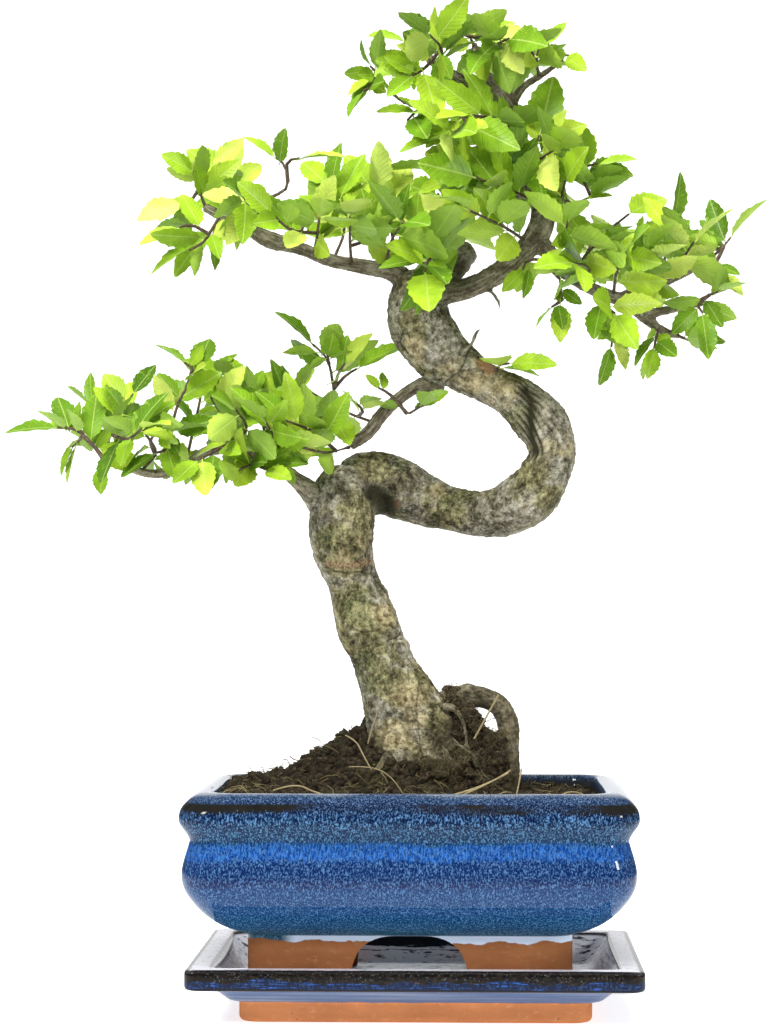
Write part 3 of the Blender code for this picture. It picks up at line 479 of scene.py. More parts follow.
def plain_mesh(piece):
    """The mesh of a piece as its modifiers make it, or of a curve with its thickness."""
    bpy.context.view_layer.update()
    return bpy.data.meshes.new_from_object(piece.evaluated_get(bpy.context.evaluated_depsgraph_get()))


def settle(piece):
    """Replaces a piece's mesh and modifiers by the plain mesh that they make."""
    mesh = plain_mesh(piece)
    piece.modifiers.clear()
    piece.data = mesh


def cut(target, cutter):
    """Cuts one piece from another and removes the cutter."""
    hole = target.modifiers.new("hole", "BOOLEAN")
    hole.operation = "DIFFERENCE"
    hole.object = cutter
    settle(target)
    bpy.data.objects.remove(cutter)


def make_pot():
    profile = rounded_profile(POT_OUTSIDE[:4], 0.5, 3) + rounded_profile(POT_OUTSIDE[4:], 9) + POT_INSIDE
    pot = loft("glazed_pot", [pot_ring(inset, z) for inset, z in profile])
    outline = [(share * ARCH_HALF_WIDTH, z) for share, z in rounded_profile(ARCH, 9)]
    outline += [(-across, z) for across, z in reversed(outline[:-1])]
    sides = (-POT_HALF_DEPTH, POT_HALF_DEPTH)
    cut(pot, loft("arch", [[Vector((across + POT_X, y, z)) for across, z in outline] for y in sides]))
    for middle in (POT_X - DRAIN_X, POT_X + DRAIN_X):
        ring = []
        for k in range(DRAIN_SIDES):
            turn = 2 * math.pi * k / DRAIN_SIDES
            ring.append((middle + DRAIN_RADIUS * math.cos(turn), DRAIN_RADIUS * math.sin(turn)))
        ends = (POT_UNDERSIDE - 3, POT_FLOOR + 3)
        cut(pot, loft("drain", [[Vector((x, y, z)) for x, y in ring] for z in ends]))
    smooth(pot.data, 50)
    pot.data.materials.append(pot_glaze())
    finish_piece(pot, "pot_glaze", "pot")


make_pot()

# Soil: dark, crumbly potting soil that fills the pot and is heaped against the trunk. Loose crumbs,
# rootlets and straw lie on it, and it is held by nothing but the pot.
SOIL_GAP = 0.35
SOIL_LEVEL = 95.5
SOIL_FALL = 0.028
SOIL_RINGS = 46
SOIL_MIDDLE = Vector((6, 2, 0))
MOUND_X = -4
MOUND_Y = 8
MOUND_HEIGHT = 36
MOUND_LEFT = 48
MOUND_RIGHT = 30
MOUND_FRONT = 24
MOUND_BACK = 30
CLUMP_X = 26
CLUMP_Y = 4
CLUMP_HEIGHT = 25
CLUMP_SPREAD = 11

# Height, width and seed of the soil's clods, lumps and crumbs
SOIL_LUMPS = [(2.6, 6, 3), (1.5, 2.6, 9), (0.8, 1.2, 5)]
HALF_TURN = 3.14159


def soil_height(x, y):
    """The soil lies nearly level, with a steep mound at the trunk and a clump of roots on its right."""
    from_mound_x = x - MOUND_X
    from_mound_y = y - MOUND_Y
    spread_x = MOUND_LEFT if from_mound_x < 0 else MOUND_RIGHT
    spread_y = MOUND_FRONT if from_mound_y < 0 else MOUND_BACK
    mound = MOUND_HEIGHT * math.exp(-((from_mound_x / spread_x) ** 2) - (from_mound_y / spread_y) ** 2)
    from_clump = math.hypot(x - CLUMP_X, y - CLUMP_Y)
    clump = CLUMP_HEIGHT * math.exp(-((from_clump / CLUMP_SPREAD) ** 2))
    crumbs = 1.1 * math.sin(0.61 * x + 1.3) * math.sin(0.53 * y) + 0.9 * math.sin(0.37 * x - 0.71 * y)
    return SOIL_LEVEL - SOIL_FALL * x + mound + clump + crumbs


def crumbled(x, y):
    """The soil's height with its lumps and crumbs, which are rougher on the mound."""
    level = soil_height(x, y)
    heaped = min(max((level - SOIL_LEVEL - 3) / 12, 0), 1)
    clods, lumps, crumbs = [
        height * noise.noise(Vector((x / width, y / width, seed))) for height, width, seed in SOIL_LUMPS]
    return level + (clods + lumps) * (1 + 0.9 * heaped) + crumbs


def stored(place, name, kind="Fac"):
    """A value that is stored on the piece's points under that name."""
    return node(place.tree, "Attribute", kind, {}, attribute_name=name)


def earth():
    """Dark brown soil with black, reddish and grey-green patches."""
    made, shader, place = shading("soil")
    base = ramp(grain(place, 0.35, 6.0, 0.7), [
        (0.3, (0.008, 0.006, 0.004)), (0.48, (0.026, 0.019, 0.011)), (0.6, (0.060, 0.045, 0.026)),
        (0.78, (0.13, 0.10, 0.06))])
    patch = between(grain(place, 0.07, 3.0), 0.48, 0.68)
    base = mixed(patch * 0.5, base, (0.050, 0.050, 0.020))
    base = mixed(stored(place, "tone") * 0.55, base, (0.012, 0.008, 0.006))
    set_inputs(shader, {"Base Color": base, "Roughness": 0.92, "Specular IOR Level": 0.25})
    bumped(shader, grain(place, 1.1, 5.0, 0.7), 0.8)
    return made


def crumb_shape(name, seed):
    """A rough crumb of soil, one unit across."""
    shape = bmesh.new()
    bmesh.ops.create_icosphere(shape, subdivisions=1, radius=0.5)
    for point in shape.verts:
        point.co *= 0.8 + 0.5 * noise.noise(point.co * 2.3 + Vector((seed, 0, 0)))
    mesh = bpy.data.meshes.new(name)
    shape.to_mesh(mesh)
    shape.free()
    mesh.shade_smooth()
    return bpy.data.objects.new(name, mesh)


def fibre_shape(name, seed):
    """A thin bent rootlet, one unit long, as a closed three-sided tube."""
    draw = random.Random(seed)
    points = []
    for k in range(7):
        bend = Vector((k / 6 - 0.5, 0.16 * math.sin(k * 0.9 + seed) + draw.uniform(-0.05, 0.05),
                       0.1 * math.cos(k * 1.1 + 2 * seed)))
        thick = 0.016 * (1 - 0.4 * k / 6)
        for turn in (0, 2 * math.pi / 3, 4 * math.pi / 3):
            points.append(bend + Vector((0, math.cos(turn), math.sin(turn))) * thick)
    mesh = new_mesh(name, points, [(2, 1, 0), (18, 19, 20)] + ring_faces(7, 3))
    mesh.shade_smooth()
    return bpy.data.objects.new(name, mesh)


def shape_box(name, shapes):
    """A collection of shapes for a tree to pick from. It isn't part of the scene."""
    box = bpy.data.collections.new(name)
    for shape in shapes:
        box.objects.link(shape)
    return box


def grower(name, inputs):
    """A Geometry Nodes tree with a geometry input and output and the named inputs."""
    tree = bpy.data.node_groups.new(name, "GeometryNodeTree")
    add_sockets(tree, "INPUT", {"Geometry": "Geometry", **inputs})
    add_sockets(tree, "OUTPUT", {"Geometry": "Geometry"})
    return tree, tree.nodes.new("NodeGroupInput").outputs, tree.nodes.new("NodeGroupOutput").inputs[0]


def step(tree, kind, inputs, output=0, **settings):
    """Adds a geometry or function node and gives one of its outputs."""
    return add_node(tree, kind, inputs, **settings).outputs[output]


def scatter_tree():
    """Scatters shapes from a collection over the upward faces, each turned and sized at random."""
    tree, given, result = grower("scatter", {
        "Shapes": "Collection", "Per square metre": "Float", "Smallest": "Float", "Largest": "Float",
        "Upright": "Float", "Least upward": "Float", "Seed": "Int", "Material": "Material"})
    seed = given["Seed"]
    lean = given["Upright"]

    def at_random(low, high, seed, kind="FLOAT"):
        first = 0 if kind == "FLOAT_VECTOR" else 2
        inputs = {first: low, first + 1: high, "Seed": seed}
        return step(tree, "FunctionNodeRandomValue", inputs, first // 2, data_type=kind)

    up = step(tree, "ShaderNodeSeparateXYZ", {0: step(tree, "GeometryNodeInputNormal", {})}, 2)
    level = step(tree, "FunctionNodeCompare", {0: up, 1: given["Least upward"]}, data_type="FLOAT",
                 operation="GREATER_THAN")
    spots = step(tree, "GeometryNodeDistributePointsOnFaces", {
        "Mesh": given["Geometry"], "Selection": level, "Density": given["Per square metre"], "Seed": seed})
    lean_back = step(tree, "ShaderNodeMath", {0: lean, 1: -1.0}, operation="MULTIPLY")
    lowest = step(tree, "ShaderNodeCombineXYZ", {0: lean_back, 1: lean_back, 2: -HALF_TURN})
    highest = step(tree, "ShaderNodeCombineXYZ", {0: lean, 1: lean, 2: HALF_TURN})
    turn = at_random(lowest, highest, seed, "FLOAT_VECTOR")
    own = {"Geometry": spots, "Name": "tone", "Value": at_random(0.0, 1.0, 7)}
    marked = step(tree, "GeometryNodeStoreNamedAttribute", own, data_type="FLOAT", domain="POINT")
    shapes = step(tree, "GeometryNodeCollectionInfo", {
        "Collection": given["Shapes"], "Separate Children": True, "Reset Children": True})
    placed = step(tree, "GeometryNodeInstanceOnPoints", {
        "Points": marked, "Instance": shapes, "Pick Instance": True,
        "Rotation": step(tree, "FunctionNodeEulerToRotation", {0: turn}),
        "Scale": at_random(given["Smallest"], given["Largest"], seed)})
    solid = step(tree, "GeometryNodeRealizeInstances", {0: placed})
    painted = step(tree, "GeometryNodeSetMaterial", {"Geometry": solid, "Material": given["Material"]})
    tree.links.new(painted, result)
    return tree


def grown(name, source, tree, values):
    """The plain mesh that a tree makes from a copy of the source's mesh, as a new piece."""
    made = in_scene(name, source.data.copy())
    run = made.modifiers.new(tree.name, "NODES")
    run.node_group = tree
    for item in tree.interface.items_tree:
        if item.in_out == "INPUT" and item.name in values:
            run[item.identifier] = values[item.name]
    settle(made)
    return made


def straw_colour():
    """Pale dry straw and rootlets, from buff to brown."""
    made, shader, place = shading("straw")
    dry = ramp(stored(place, "tone"), [
        (0.0, (0.38, 0.31, 0.16)), (0.3, (0.15, 0.12, 0.05)), (1.0, (0.045, 0.035, 0.018))])
    dry = mixed(grain(place, 0.4) * 0.8, dry, (0.11, 0.085, 0.04))
    set_inputs(shader, {"Base Color": dry, "Roughness": 0.7})
    return made


def moss_colour():
    made, shader, place = shading("moss")
    green = mixed(stored(place, "tone"), (0.10, 0.19, 0.03), (0.035, 0.08, 0.015))
    set_inputs(shader, {"Base Color": green, "Roughness": 0.85})
    return made


def straw(name, path, width, look):
    """One long stem of straw through given points, in millimetres, as a closed tapering tube."""
    curve = bpy.data.curves.new(name, "CURVE")
    curve.dimensions = "3D"
    curve.bevel_depth = width / 2 * MM
    curve.bevel_resolution = 2
    curve.use_fill_caps = True
    line = curve.splines.new("NURBS")
    line.points.add(len(path) - 1)
    for point, place in zip(line.points, path):
        point.co = (*(Vector(place) * MM), 1)
    line.use_endpoint_u = True
    line.order_u = 3
    drawn = in_scene(name, curve)
    mesh = plain_mesh(drawn)
    bpy.data.objects.remove(drawn)
    mesh.materials.clear()
    mesh.materials.append(look)
    return in_scene(name, mesh)


# Middle, reach and count of the lumps in each part of the root mass
ROOT_MASS = [
    ((13, 0, 133), (5, 7, 7), 16), ((20, -2, 125), (7, 7, 9), 34), ((16, -4, 112), (7, 6, 9), 26),
    ((25, -2, 112), (7, 7, 9), 34), ((33, 0, 112), (6, 6, 9), 26), ((37, 1, 104), (6, 7, 6), 14),
    ((24, 2, 136), (6, 4, 3), 8), ((35, 1, 118), (5, 6, 5), 16), ((12, -6, 122), (5, 4, 12), 18),
    ((9, -17, 106), (8, 4, 7), 30), ((20, -13, 108), (8, 4, 8), 30), ((18, 0, 141), (5, 5, 3), 9),
]

# Width and path of each straw
STRAWS = {
    "straw_long": (1.0, [(17, -44, 99), (30, -40, 102), (41, -34, 108)]),
    "straw_doubled": (0.8, [(21, -43, 99), (32, -40, 103), (42, -33, 109)]),
    "straw_crossing": (0.9, [(26, -12, 122), (31, -13, 131), (37, -14, 142)]),
    "straw_upright": (0.6, [(-22, -18, 120), (-20, -19, 128), (-17, -18, 136)]),
    "straw_bent": (0.6, [(-32, -22, 124), (-27, -26, 122), (-24, -28, 116), (-20, -30, 109)]),
    "straw_arched": (0.5, [(-30, -26, 110), (-20, -32, 111), (-10, -34, 106), (-6, -34, 99)]),
    "straw_left": (0.8, [(-66, -34, 99), (-54, -38, 104), (-44, -40, 99), (-36, -42, 98)]),
    "straw_right": (0.8, [(62, -36, 96), (68, -30, 102), (76, -26, 97)]),
    "straw_low": (0.9, [(-8, -46, 97), (8, -48, 100), (24, -46, 97), (38, -44, 96)]),
    "straw_thin": (0.7, [(44, -40, 96), (46, -38, 104), (47, -34, 110)]),
}


def skinned(piece, voxel):
    """Lays one even skin over overlapping shapes, with faces about a voxel wide, in millimetres."""
    skin = piece.modifiers.new("skin", "REMESH")
    skin.mode = "VOXEL"
    skin.voxel_size = voxel * MM


def make_root_mass():
    """The dark tangle of fine roots and soil between the trunk and the arching root."""
    draw = random.Random("root mass")
    tangle = bmesh.new()
    for middle, spread, count in ROOT_MASS:
        for _ in range(count):
            away = Vector([draw.uniform(-1, 1) * reach for reach in spread])
            size = Matrix.Diagonal([draw.uniform(1.6, 3.6) for _ in range(3)] + [1])
            placed = Matrix.Translation(Vector(middle) + away) @ size
            bmesh.ops.create_icosphere(tangle, subdivisions=2, radius=1, matrix=placed)
    for point in tangle.verts:
        point.co += Vector((1, 1, 1)) * noise.noise(point.co / 1.7) * 0.7
        point.co *= MM
    mesh = bpy.data.meshes.new("root_mass")
    tangle.to_mesh(mesh)
    tangle.free()
    mass = in_scene("root_mass", mesh)
    skinned(mass, 0.6)
    settle(mass)
    outwards = [point.normal.copy() for point in mass.data.vertices]
    for point, away in zip(mass.data.vertices, outwards):
        own = noise.noise(point.co / MM / 1.3) * 0.7 + noise.noise(point.co / MM / 0.7) * 0.3
        point.co += away * own * MM
    mass.data.shade_smooth()
    return mass


def make_soil():
    rings = [pot_ring(inset, z + SOIL_GAP, SOIL_GAP, 6, 14) for inset, z in reversed(POT_INSIDE[1:])]
    edge = pot_ring(POT_INSIDE[1][0], 0, SOIL_GAP, 6, 14)
    for k in range(SOIL_RINGS):
        ring = [point.lerp(SOIL_MIDDLE, 0.985 * k / (SOIL_RINGS - 1)) for point in edge]
        rings.append([Vector((point.x, point.y, crumbled(point.x, point.y))) for point in ring])
    soil = loft("soil_bed", rings)
    smooth(soil.data, 80)
    dark = earth()
    soil.data.materials.append(dark)
    scatter = scatter_tree()

    def strewn(name, source, shapes, look, density, sizes, upright, least, seed):
        return grown(name, source, scatter, {
            "Shapes": shapes, "Per square metre": density, "Smallest": sizes[0] * MM,
            "Largest": sizes[1] * MM, "Upright": upright, "Least upward": least, "Seed": seed,
            "Material": look})

    crumbs = shape_box("crumbs", [crumb_shape(f"crumb_{k}", k) for k in range(4)])
    fibres = shape_box("fibres", [fibre_shape(f"fibre_{k}", k) for k in range(4)])
    dry = straw_colour()
    loose = strewn("soil_crumbs", soil, crumbs, dark, 190000.0, (1.0, 5.2), 3.0, 0.2, 3)
    mass = make_root_mass()
    mass.data.materials.append(dark)
    on_mass = strewn("root_mass_fibres", mass, fibres, dry, 330000.0, (3, 8), 1.2, -1.0, 8)
    clods = strewn("soil_clods", soil, crumbs, dark, 14000.0, (3.0, 7.5), 3.0, 0.2, 14)
    rootlets = strewn("soil_rootlets", soil, fibres, dry, 34000.0, (6, 18), 0.5, 0.2, 5)
    patch = strewn("moss", soil, crumbs, moss_colour(), 1500.0, (0.8, 2.0), 3.0, 0.2, 11)
    for piece in (soil, loose, clods, mass, on_mass, rootlets, patch):
        finish_piece(piece, "soil", "soil")
    for name, (width, path) in STRAWS.items():
        finish_piece(straw(name, path, width, dry), "soil", "soil")


make_soil()

# Trunk: one grown piece of elm wood, wired into an S when young, with silver-grey bark, algae, old
# wire scars and a dead stub. It stands on its own roots in the soil, one of which arches clear of it.

# Each limb runs through (x, y, z, radius) stations, in millimetres.
LOWER_TRUNK = [
    (-3, 0, 88, 14), (-3, 0, 105, 14), (-5, 0, 122, 15.5), (-9, 0, 139, 16), (-16, 0, 158, 14),
    (-24, 0, 176, 14), (-30, 0, 195, 11), (-34, -1, 208, 13.5), (-35, -1, 221, 15), (-34, 2, 234, 14),
    (-31, 5, 241, 11),
]
LOOP = [
    (-30, 8, 236, 13), (-20, 15, 238, 14.5), (-8, 19, 236, 15), (5, 19, 230, 11.5), (21, 13, 225, 9.5),
    (37, 6, 225, 11), (51, 0, 232, 13), (59, -4, 242, 11.5), (61, -6, 254, 10.5), (56, -5, 266, 11.5),
    (46, -4, 276, 10), (33, -2, 283, 9), (20, 0, 291, 11), (8, 0, 301, 14), (1, 0, 312, 14),
    (-1, 2, 323, 11.5), (1, 3, 330, 9.5),
]
ROOT_FLARE = [
    (-9, -1, 154, 8), (-1, -3, 140, 10), (6, -5, 126, 10.5), (10, -6, 112, 10), (12, -6, 96, 9),
]
ARCH_ROOT = [
    (4, 0, 130, 8), (12, 2, 136, 6.5), (21, 4, 140, 5.5), (29, 5, 140, 5), (36, 5, 137, 5),
    (41, 5, 129, 5), (42, 4, 119, 4.5), (42, 3, 107, 4.5), (40, 2, 92, 4),
]
DEAD_STUB = [
    (0, 3, 326, 9), (9, 6, 334, 8.5), (17, 8, 340, 7.5), (23, 9, 347, 6),
]
LEADER = [
    (3, 2, 324, 7), (15, 0, 326, 5.5), (25, -3, 328, 5), (34, -5, 332, 5), (42, -6, 337, 5),
    (50, -6, 345, 5), (56, -5, 353, 5.5), (58, -1, 361, 5.5), (55, 4, 373, 5), (49, 7, 386, 4),
    (46, 8, 398, 4), (43, 8, 409, 4.5), (37, 6, 418, 5), (32, 6, 425, 3.5),
]
TOP_LEFT = [
    (35, 6, 419, 4), (24, 4, 422, 3), (10, 0, 430, 2.5), (-1, -3, 438, 1.5),
]
TOP_UP = [
    (33, 6, 422, 3), (29, 7, 431, 2.5), (26, 9, 442, 1.5),
]
TOP_RIGHT = [
    (42, 7, 411, 3), (48, 4, 420, 2), (58, 0, 426, 1.5), (67, -3, 432, 1),
]
TOP_LOW = [
    (45, 8, 403, 2), (30, -2, 405, 1.5), (15, -8, 407, 1.5), (1, -12, 409, 1.5), (-9, -15, 413, 1),
    (-16, -15, 421, 1),
]
UPPER_LEFT = [
    (-2, 3, 328, 6.5), (-11, 2, 335, 4.5), (-23, -2, 337, 3.5), (-40, -6, 340, 3), (-53, -8, 345, 3),
    (-67, -9, 349, 4), (-77, -9, 354, 3), (-89, -9, 360, 2.5), (-97, -9, 364, 2),
]
LOW_LEFT = [
    (-44, -4, 230, 7.5), (-51, -6, 236, 4.5), (-61, -9, 244, 3), (-75, -11, 250, 2.5), (-88, -12, 254, 3),
    (-96, -13, 252, 2.5), (-106, -15, 245, 2.5), (-121, -16, 242, 2), (-134, -16, 246, 2),
    (-143, -16, 248, 1.5),
]
LOW_BACK = [
    (10, 6, 284, 5.5), (2, 10, 284, 3.5), (-7, 12, 279, 3), (-16, 12, 271, 3), (-24, 12, 261, 3),
    (-31, 11, 256, 2.5),
]
RIGHT = [
    (55, -5, 348, 4.5), (62, -8, 341, 3.5), (69, -10, 333, 3.5), (81, -12, 325, 3), (96, -12, 319, 3),
    (104, -12, 312, 2.5), (111, -12, 307, 2), (119, -12, 304, 1.5),
]
RIGHT_LOW = [
    (103, -12, 314, 2.5), (113, -11, 316, 2), (124, -10, 318, 1.5), (134, -8, 320, 1),
]
RIGHT_HIGH = [
    (91, -12, 321, 2.5), (99, -10, 325, 2), (108, -8, 327, 2), (118, -6, 331, 1.5), (127, -4, 336, 1.5),
    (136, -2, 342, 1),
]
DEAD_TWIG_HIGH = [
    (21, -10, 297, 1.5), (25, -11, 301, 1), (27, -11, 306, 1), (29, -11, 308, 0.5),
]
DEAD_TWIG_LOW = [
    (28, -4, 329, 1.5), (33, -5, 326, 1), (37, -6, 321, 1), (38, -7, 316, 0.5),
]
THIN_ROOTS = [
    [(4, -8, 124, 3), (10, -15, 120, 1.6), (15, -17, 112, 1.1), (17, -17, 104, 0.9), (15, -20, 97, 0.8)],
    [(8, -6, 134, 3), (16, -9, 136, 1.6), (21, -11, 129, 1.1), (23, -12, 118, 1), (27, -14, 109, 0.8)],
    [(12, -8, 128, 2), (19, -12, 119, 1), (26, -13, 114, 0.9), (30, -12, 106, 0.8), (37, -14, 100, 0.7)],
    [(-10, -8, 118, 3), (-16, -14, 110, 2), (-22, -20, 104, 1.2)],
    [(12, 8, 124, 4), (16, 18, 114, 3), (18, 26, 104, 2)],
    [(-8, 8, 120, 5), (-16, 18, 112, 3.5), (-24, 26, 104, 2)],
]
LIMBS = [
    (LOWER_TRUNK, 40, 11, 0.05), (ROOT_FLARE, 32, 12, 0.06), (ARCH_ROOT, 24, 9, 0.05), (LOOP, 40, 11, 0.05),
    (DEAD_STUB, 24, 9, 0.03), (LEADER, 20, 9, 0.03), (TOP_LEFT, 12, 11, 0.03), (TOP_UP, 12, 11, 0.03),
    (TOP_RIGHT, 12, 11, 0.03), (TOP_LOW, 12, 12, 0.03), (UPPER_LEFT, 20, 10, 0.03), (LOW_LEFT, 20, 10, 0.03),
    (LOW_BACK, 16, 9, 0.03), (RIGHT, 20, 9, 0.03), (RIGHT_LOW, 12, 12, 0.03), (RIGHT_HIGH, 12, 12, 0.03),
    (DEAD_TWIG_HIGH, 8, 6, 0.03), (DEAD_TWIG_LOW, 8, 8, 0.03),
] + [(root, 12, 9, 0.05) for root in THIN_ROOTS]
RING_STEP = 2
LIMB_DOME = 0.45
LIMB_APART = 500
BARK_GRAIN = 0.88

# Marks on the bark as seen from the front, in millimetres. A lump or hollow has its (x, z), radius and
# height, a fold, groove, crack or band is a path of (x, z) points, and a patch has its (x, z) and radius.
LUMPS = [
    ((-8, 240), 8, 2.2), ((8, 137), 5, 1.4), ((14, 131), 5, 1.4), ((-4, 164), 5, 0.9), ((2, 313), 7, 0.8),
    ((16, 142), 4, 1.6), ((23, 144), 4, 1.3), ((-6, 171), 3, 1.5),
]
HOLLOWS = [
    ((-14, 227), 8, 2.4), ((9, 119), 6, 2.4), ((20, 338), 7, 2.0), ((14, 316), 5, 0.8),
    ((20, 124), 7, 2.0),
]
FOLD = [(-19, 234), (-15, 230), (-14, 226), (-16, 220)]
GROOVE = [(49, 280), (52, 275), (51, 267), (51, 260), (53, 252)]
CRACKS = [
    [(24, 299), (22, 293), (19, 288), (13, 284)], [(-42, 199.5), (-38, 197.5), (-32, 197), (-25, 197.5)],
    [(-6, 307), (-7.5, 302), (-4, 297)], [(9, 229), (10, 223), (9, 217)],
    [(5, 136), (9, 137), (13, 133), (17, 130)], [(3, 126), (8, 127), (13, 124)],
    [(-30, 172), (-24, 170), (-18, 171)], [(-14, 166), (-9, 168), (-6, 172)],
]
RING_BAND = [(-41, 201), (-32, 200), (-22, 202)]
PATCHES = {
    # The olive patch at (12, 226) and the green ones at (15, 229) and (22, 234) are bark colours placed to
    # darken the lower part of the loop as painted shade.
    "olive": [
        ((-33, 209), 15), ((-24, 170), 16), ((-19, 247), 10), ((-26, 222), 12), ((50, 244), 12),
        ((0, 311), 9), ((44, 290), 8), ((61, 230), 9), ((2, 150), 10), ((12, 226), 12), ((-10, 148), 12),
        ((12, 130), 10), ((-31, 184), 10),
    ],
    "green": [
        ((-20, 152), 12), ((46, 266), 10), ((-10, 223), 7), ((-40, 213), 7), ((-8, 246), 6),
        ((-27, 182), 11), ((15, 229), 8), ((22, 234), 7),
    ],
    "buff": [
        ((-15, 178), 7), ((-9, 121), 16), ((-3, 140), 12), ((26, 284), 10), ((16, 289), 8),
        ((38, 279), 9), ((-1, 297), 8), ((10, 235), 5), ((64, 256), 8), ((-32, 203), 6),
    ],
    "silver": [
        ((-36, 192), 5), ((66, 262), 12), ((10, 312), 10), ((34, 219), 11), ((20, 300), 7),
    ],
    "earthy": [
        ((18, 141), 11), ((29, 145), 10), ((40, 140), 10), ((44, 126), 11), ((44, 109), 12),
        ((11, 120), 11), ((17, 130), 9), ((-8, 239), 9), ((-20, 109), 12), ((-3, 107), 11),
        ((6, 106), 14), ((22, 126), 13), ((27, 114), 13), ((-14, 104), 10),
    ],
    # Patches of painted shade: in the hollows, in the fold, under the arching root and round the trunk's
    # foot.
    "painted_shade": [
        ((18, 124), 10), ((24, 112), 12), ((-22, 116), 9), ((-15, 228), 8), ((20, 334), 10),
        ((30, 136), 6),
    ],
    "rust": [
        ((33, 291), 5), ((-10, 229), 3), ((29, 293), 3),
    ],
}
BARK_COLOURS = {
    "silver": [(0.38, (0.040, 0.036, 0.024)), (0.45, (0.13, 0.12, 0.085)), (0.52, (0.27, 0.255, 0.195)),
               (0.62, (0.52, 0.50, 0.42))],
    "olive": [(0.38, (0.018, 0.016, 0.006)), (0.45, (0.085, 0.077, 0.030)), (0.52, (0.185, 0.167, 0.070)),
              (0.62, (0.42, 0.385, 0.19))],
    "green": [(0.40, (0.020, 0.024, 0.009)), (0.48, (0.080, 0.085, 0.034)), (0.60, (0.26, 0.26, 0.12))],
    "buff": [(0.38, (0.085, 0.064, 0.026)), (0.46, (0.25, 0.205, 0.10)), (0.60, (0.55, 0.48, 0.28))],
    "earthy": [(0.38, (0.010, 0.008, 0.004)), (0.46, (0.050, 0.042, 0.022)), (0.60, (0.22, 0.185, 0.105))],
}
THIN_LIMBS = (6.6, 4.6)
DARKER_BELOW = (117, 108)


def smooth_route(stations, step):
    """Points about a step apart on a smooth curve through the stations."""
    points = np.array(stations, float)
    chords = np.linalg.norm(np.diff(points[:, :3], axis=0), axis=1)
    at = np.concatenate([[0], np.cumsum(chords)])
    slopes = np.gradient(points, at, axis=0)
    line = []
    for distance in np.linspace(0, at[-1], max(2, round(at[-1] / step)) + 1):
        i = min(int(np.searchsorted(at, distance, "right")) - 1, len(at) - 2)
        span = at[i + 1] - at[i]
        t = (distance - at[i]) / span
        line.append(
            (2 * t**3 - 3 * t**2 + 1) * points[i]
            + (t**3 - 2 * t**2 + t) * span * slopes[i]
            + (3 * t**2 - 2 * t**3) * points[i + 1]
            + (t**3 - t**2) * span * slopes[i + 1]
        )
    return np.array(line)


def limb_shape(line, sides, row_step, lumps):
    """Points and faces of a closed limb along a line of (x, y, z, radius), in millimetres."""
    points = []
    frames = limb_frames(line)
    for row, ((x, y, z, radius), (across, beside, _)) in enumerate(zip(line, frames)):
        phase = row * row_step
        for k in range(sides):
            turn = 2 * math.pi * k / sides
            swell = 1 + lumps * math.sin(2 * turn + 0.9 * phase)
            swell += 0.6 * lumps * math.sin(3 * turn - 1.7 * phase)
            away = across * math.cos(turn) + beside * math.sin(turn)
            points.append(Vector((x, y, z)) + away * radius * swell)
    faces = ring_faces(len(line), sides)
    for row, sign in ((0, -1), (len(line) - 1, 1)):
        points.append(Vector(line[row][:3]) + frames[row][2] * sign * LIMB_DOME * line[row][3])
        for k in range(sides):
            faces.append((row * sides + k, row * sides + (k + 1) % sides, len(points) - 1))
    return points, faces


def remeshed(name, shapes, voxel):
    """Joins overlapping closed shapes into one even skin, in metres."""
    points = []
    faces = []
    for shape_points, shape_faces in shapes:
        faces += [tuple(corner + len(points) for corner in face) for face in shape_faces]
        points += [point * MM for point in shape_points]
    rough = add_piece(name, points, faces)
    skinned(rough, voxel)
    ease = rough.modifiers.new("ease", "SMOOTH")
    ease.factor = 0.5
    ease.iterations = 5
    settle(rough)
    return rough


def columns(values, key):
    """Rows of three numbers from a mesh's vertices or normals."""
    numbers = np.empty(len(values) * 3, np.float32)
    values.foreach_get(key, numbers)
    return numbers.reshape(-1, 3).astype(float)


def store(mesh, name, kind, values, domain="POINT"):
    """Stores one value or one row of three numbers for each point or face of a mesh."""
    flat = np.ravel(values)
    flat = flat.astype(np.float32) if kind.startswith("FLOAT") else flat.tolist()
    key = "vector" if kind == "FLOAT_VECTOR" else "value"
    mesh.attributes.new(name, kind, domain).data.foreach_set(key, flat)


def away_from(places, x, z):
    """How far each place is from a point, as seen from the front."""
    return np.hypot(places[:, 0] - x, places[:, 2] - z)


def near_points(places, front, targets):
    """A soft mask round each ((x, z), radius) target on the front, from 0 to 1."""
    mask = np.zeros(len(places))
    for spot, radius in targets:
        mask = np.maximum(mask, np.clip(1 - away_from(places, *spot) / radius, 0, 1) ** 0.6)
    return mask * front


def near_path(places, front, path, width):
    """A soft mask along a path of (x, z) points on the front, from 0 to 1."""
    seen = places[:, [0, 2]]
    nearest = np.full(len(places), 1e9)
    for start, end in zip(np.array(path, float), np.array(path[1:], float)):
        span = end - start
        share = np.clip((seen - start) @ span / (span @ span), 0, 1)
        nearest = np.minimum(nearest, np.linalg.norm(seen - start - share[:, None] * span, axis=1))
    return np.clip(1 - nearest / width, 0, 1) * front


def noise_at(places, size):
    """Noise from about -1 to 1 at each place, with lumps of that size or sizes in millimetres."""
    return np.array([noise.noise(Vector(place)) for place in places / np.array(size)])


def limb_frames(line):
    """The two crosswise directions and the axis at each point, turned as little as possible on the way."""
    ahead = np.gradient(line[:, :3], axis=0)
    across = Vector(ahead[0]).orthogonal().normalized()
    frames = []
    for step_ahead in ahead:
        axis = Vector(step_ahead).normalized()
        across = (across - axis * across.dot(axis)).normalized()
        frames.append((across, axis.cross(across), axis))
    return frames


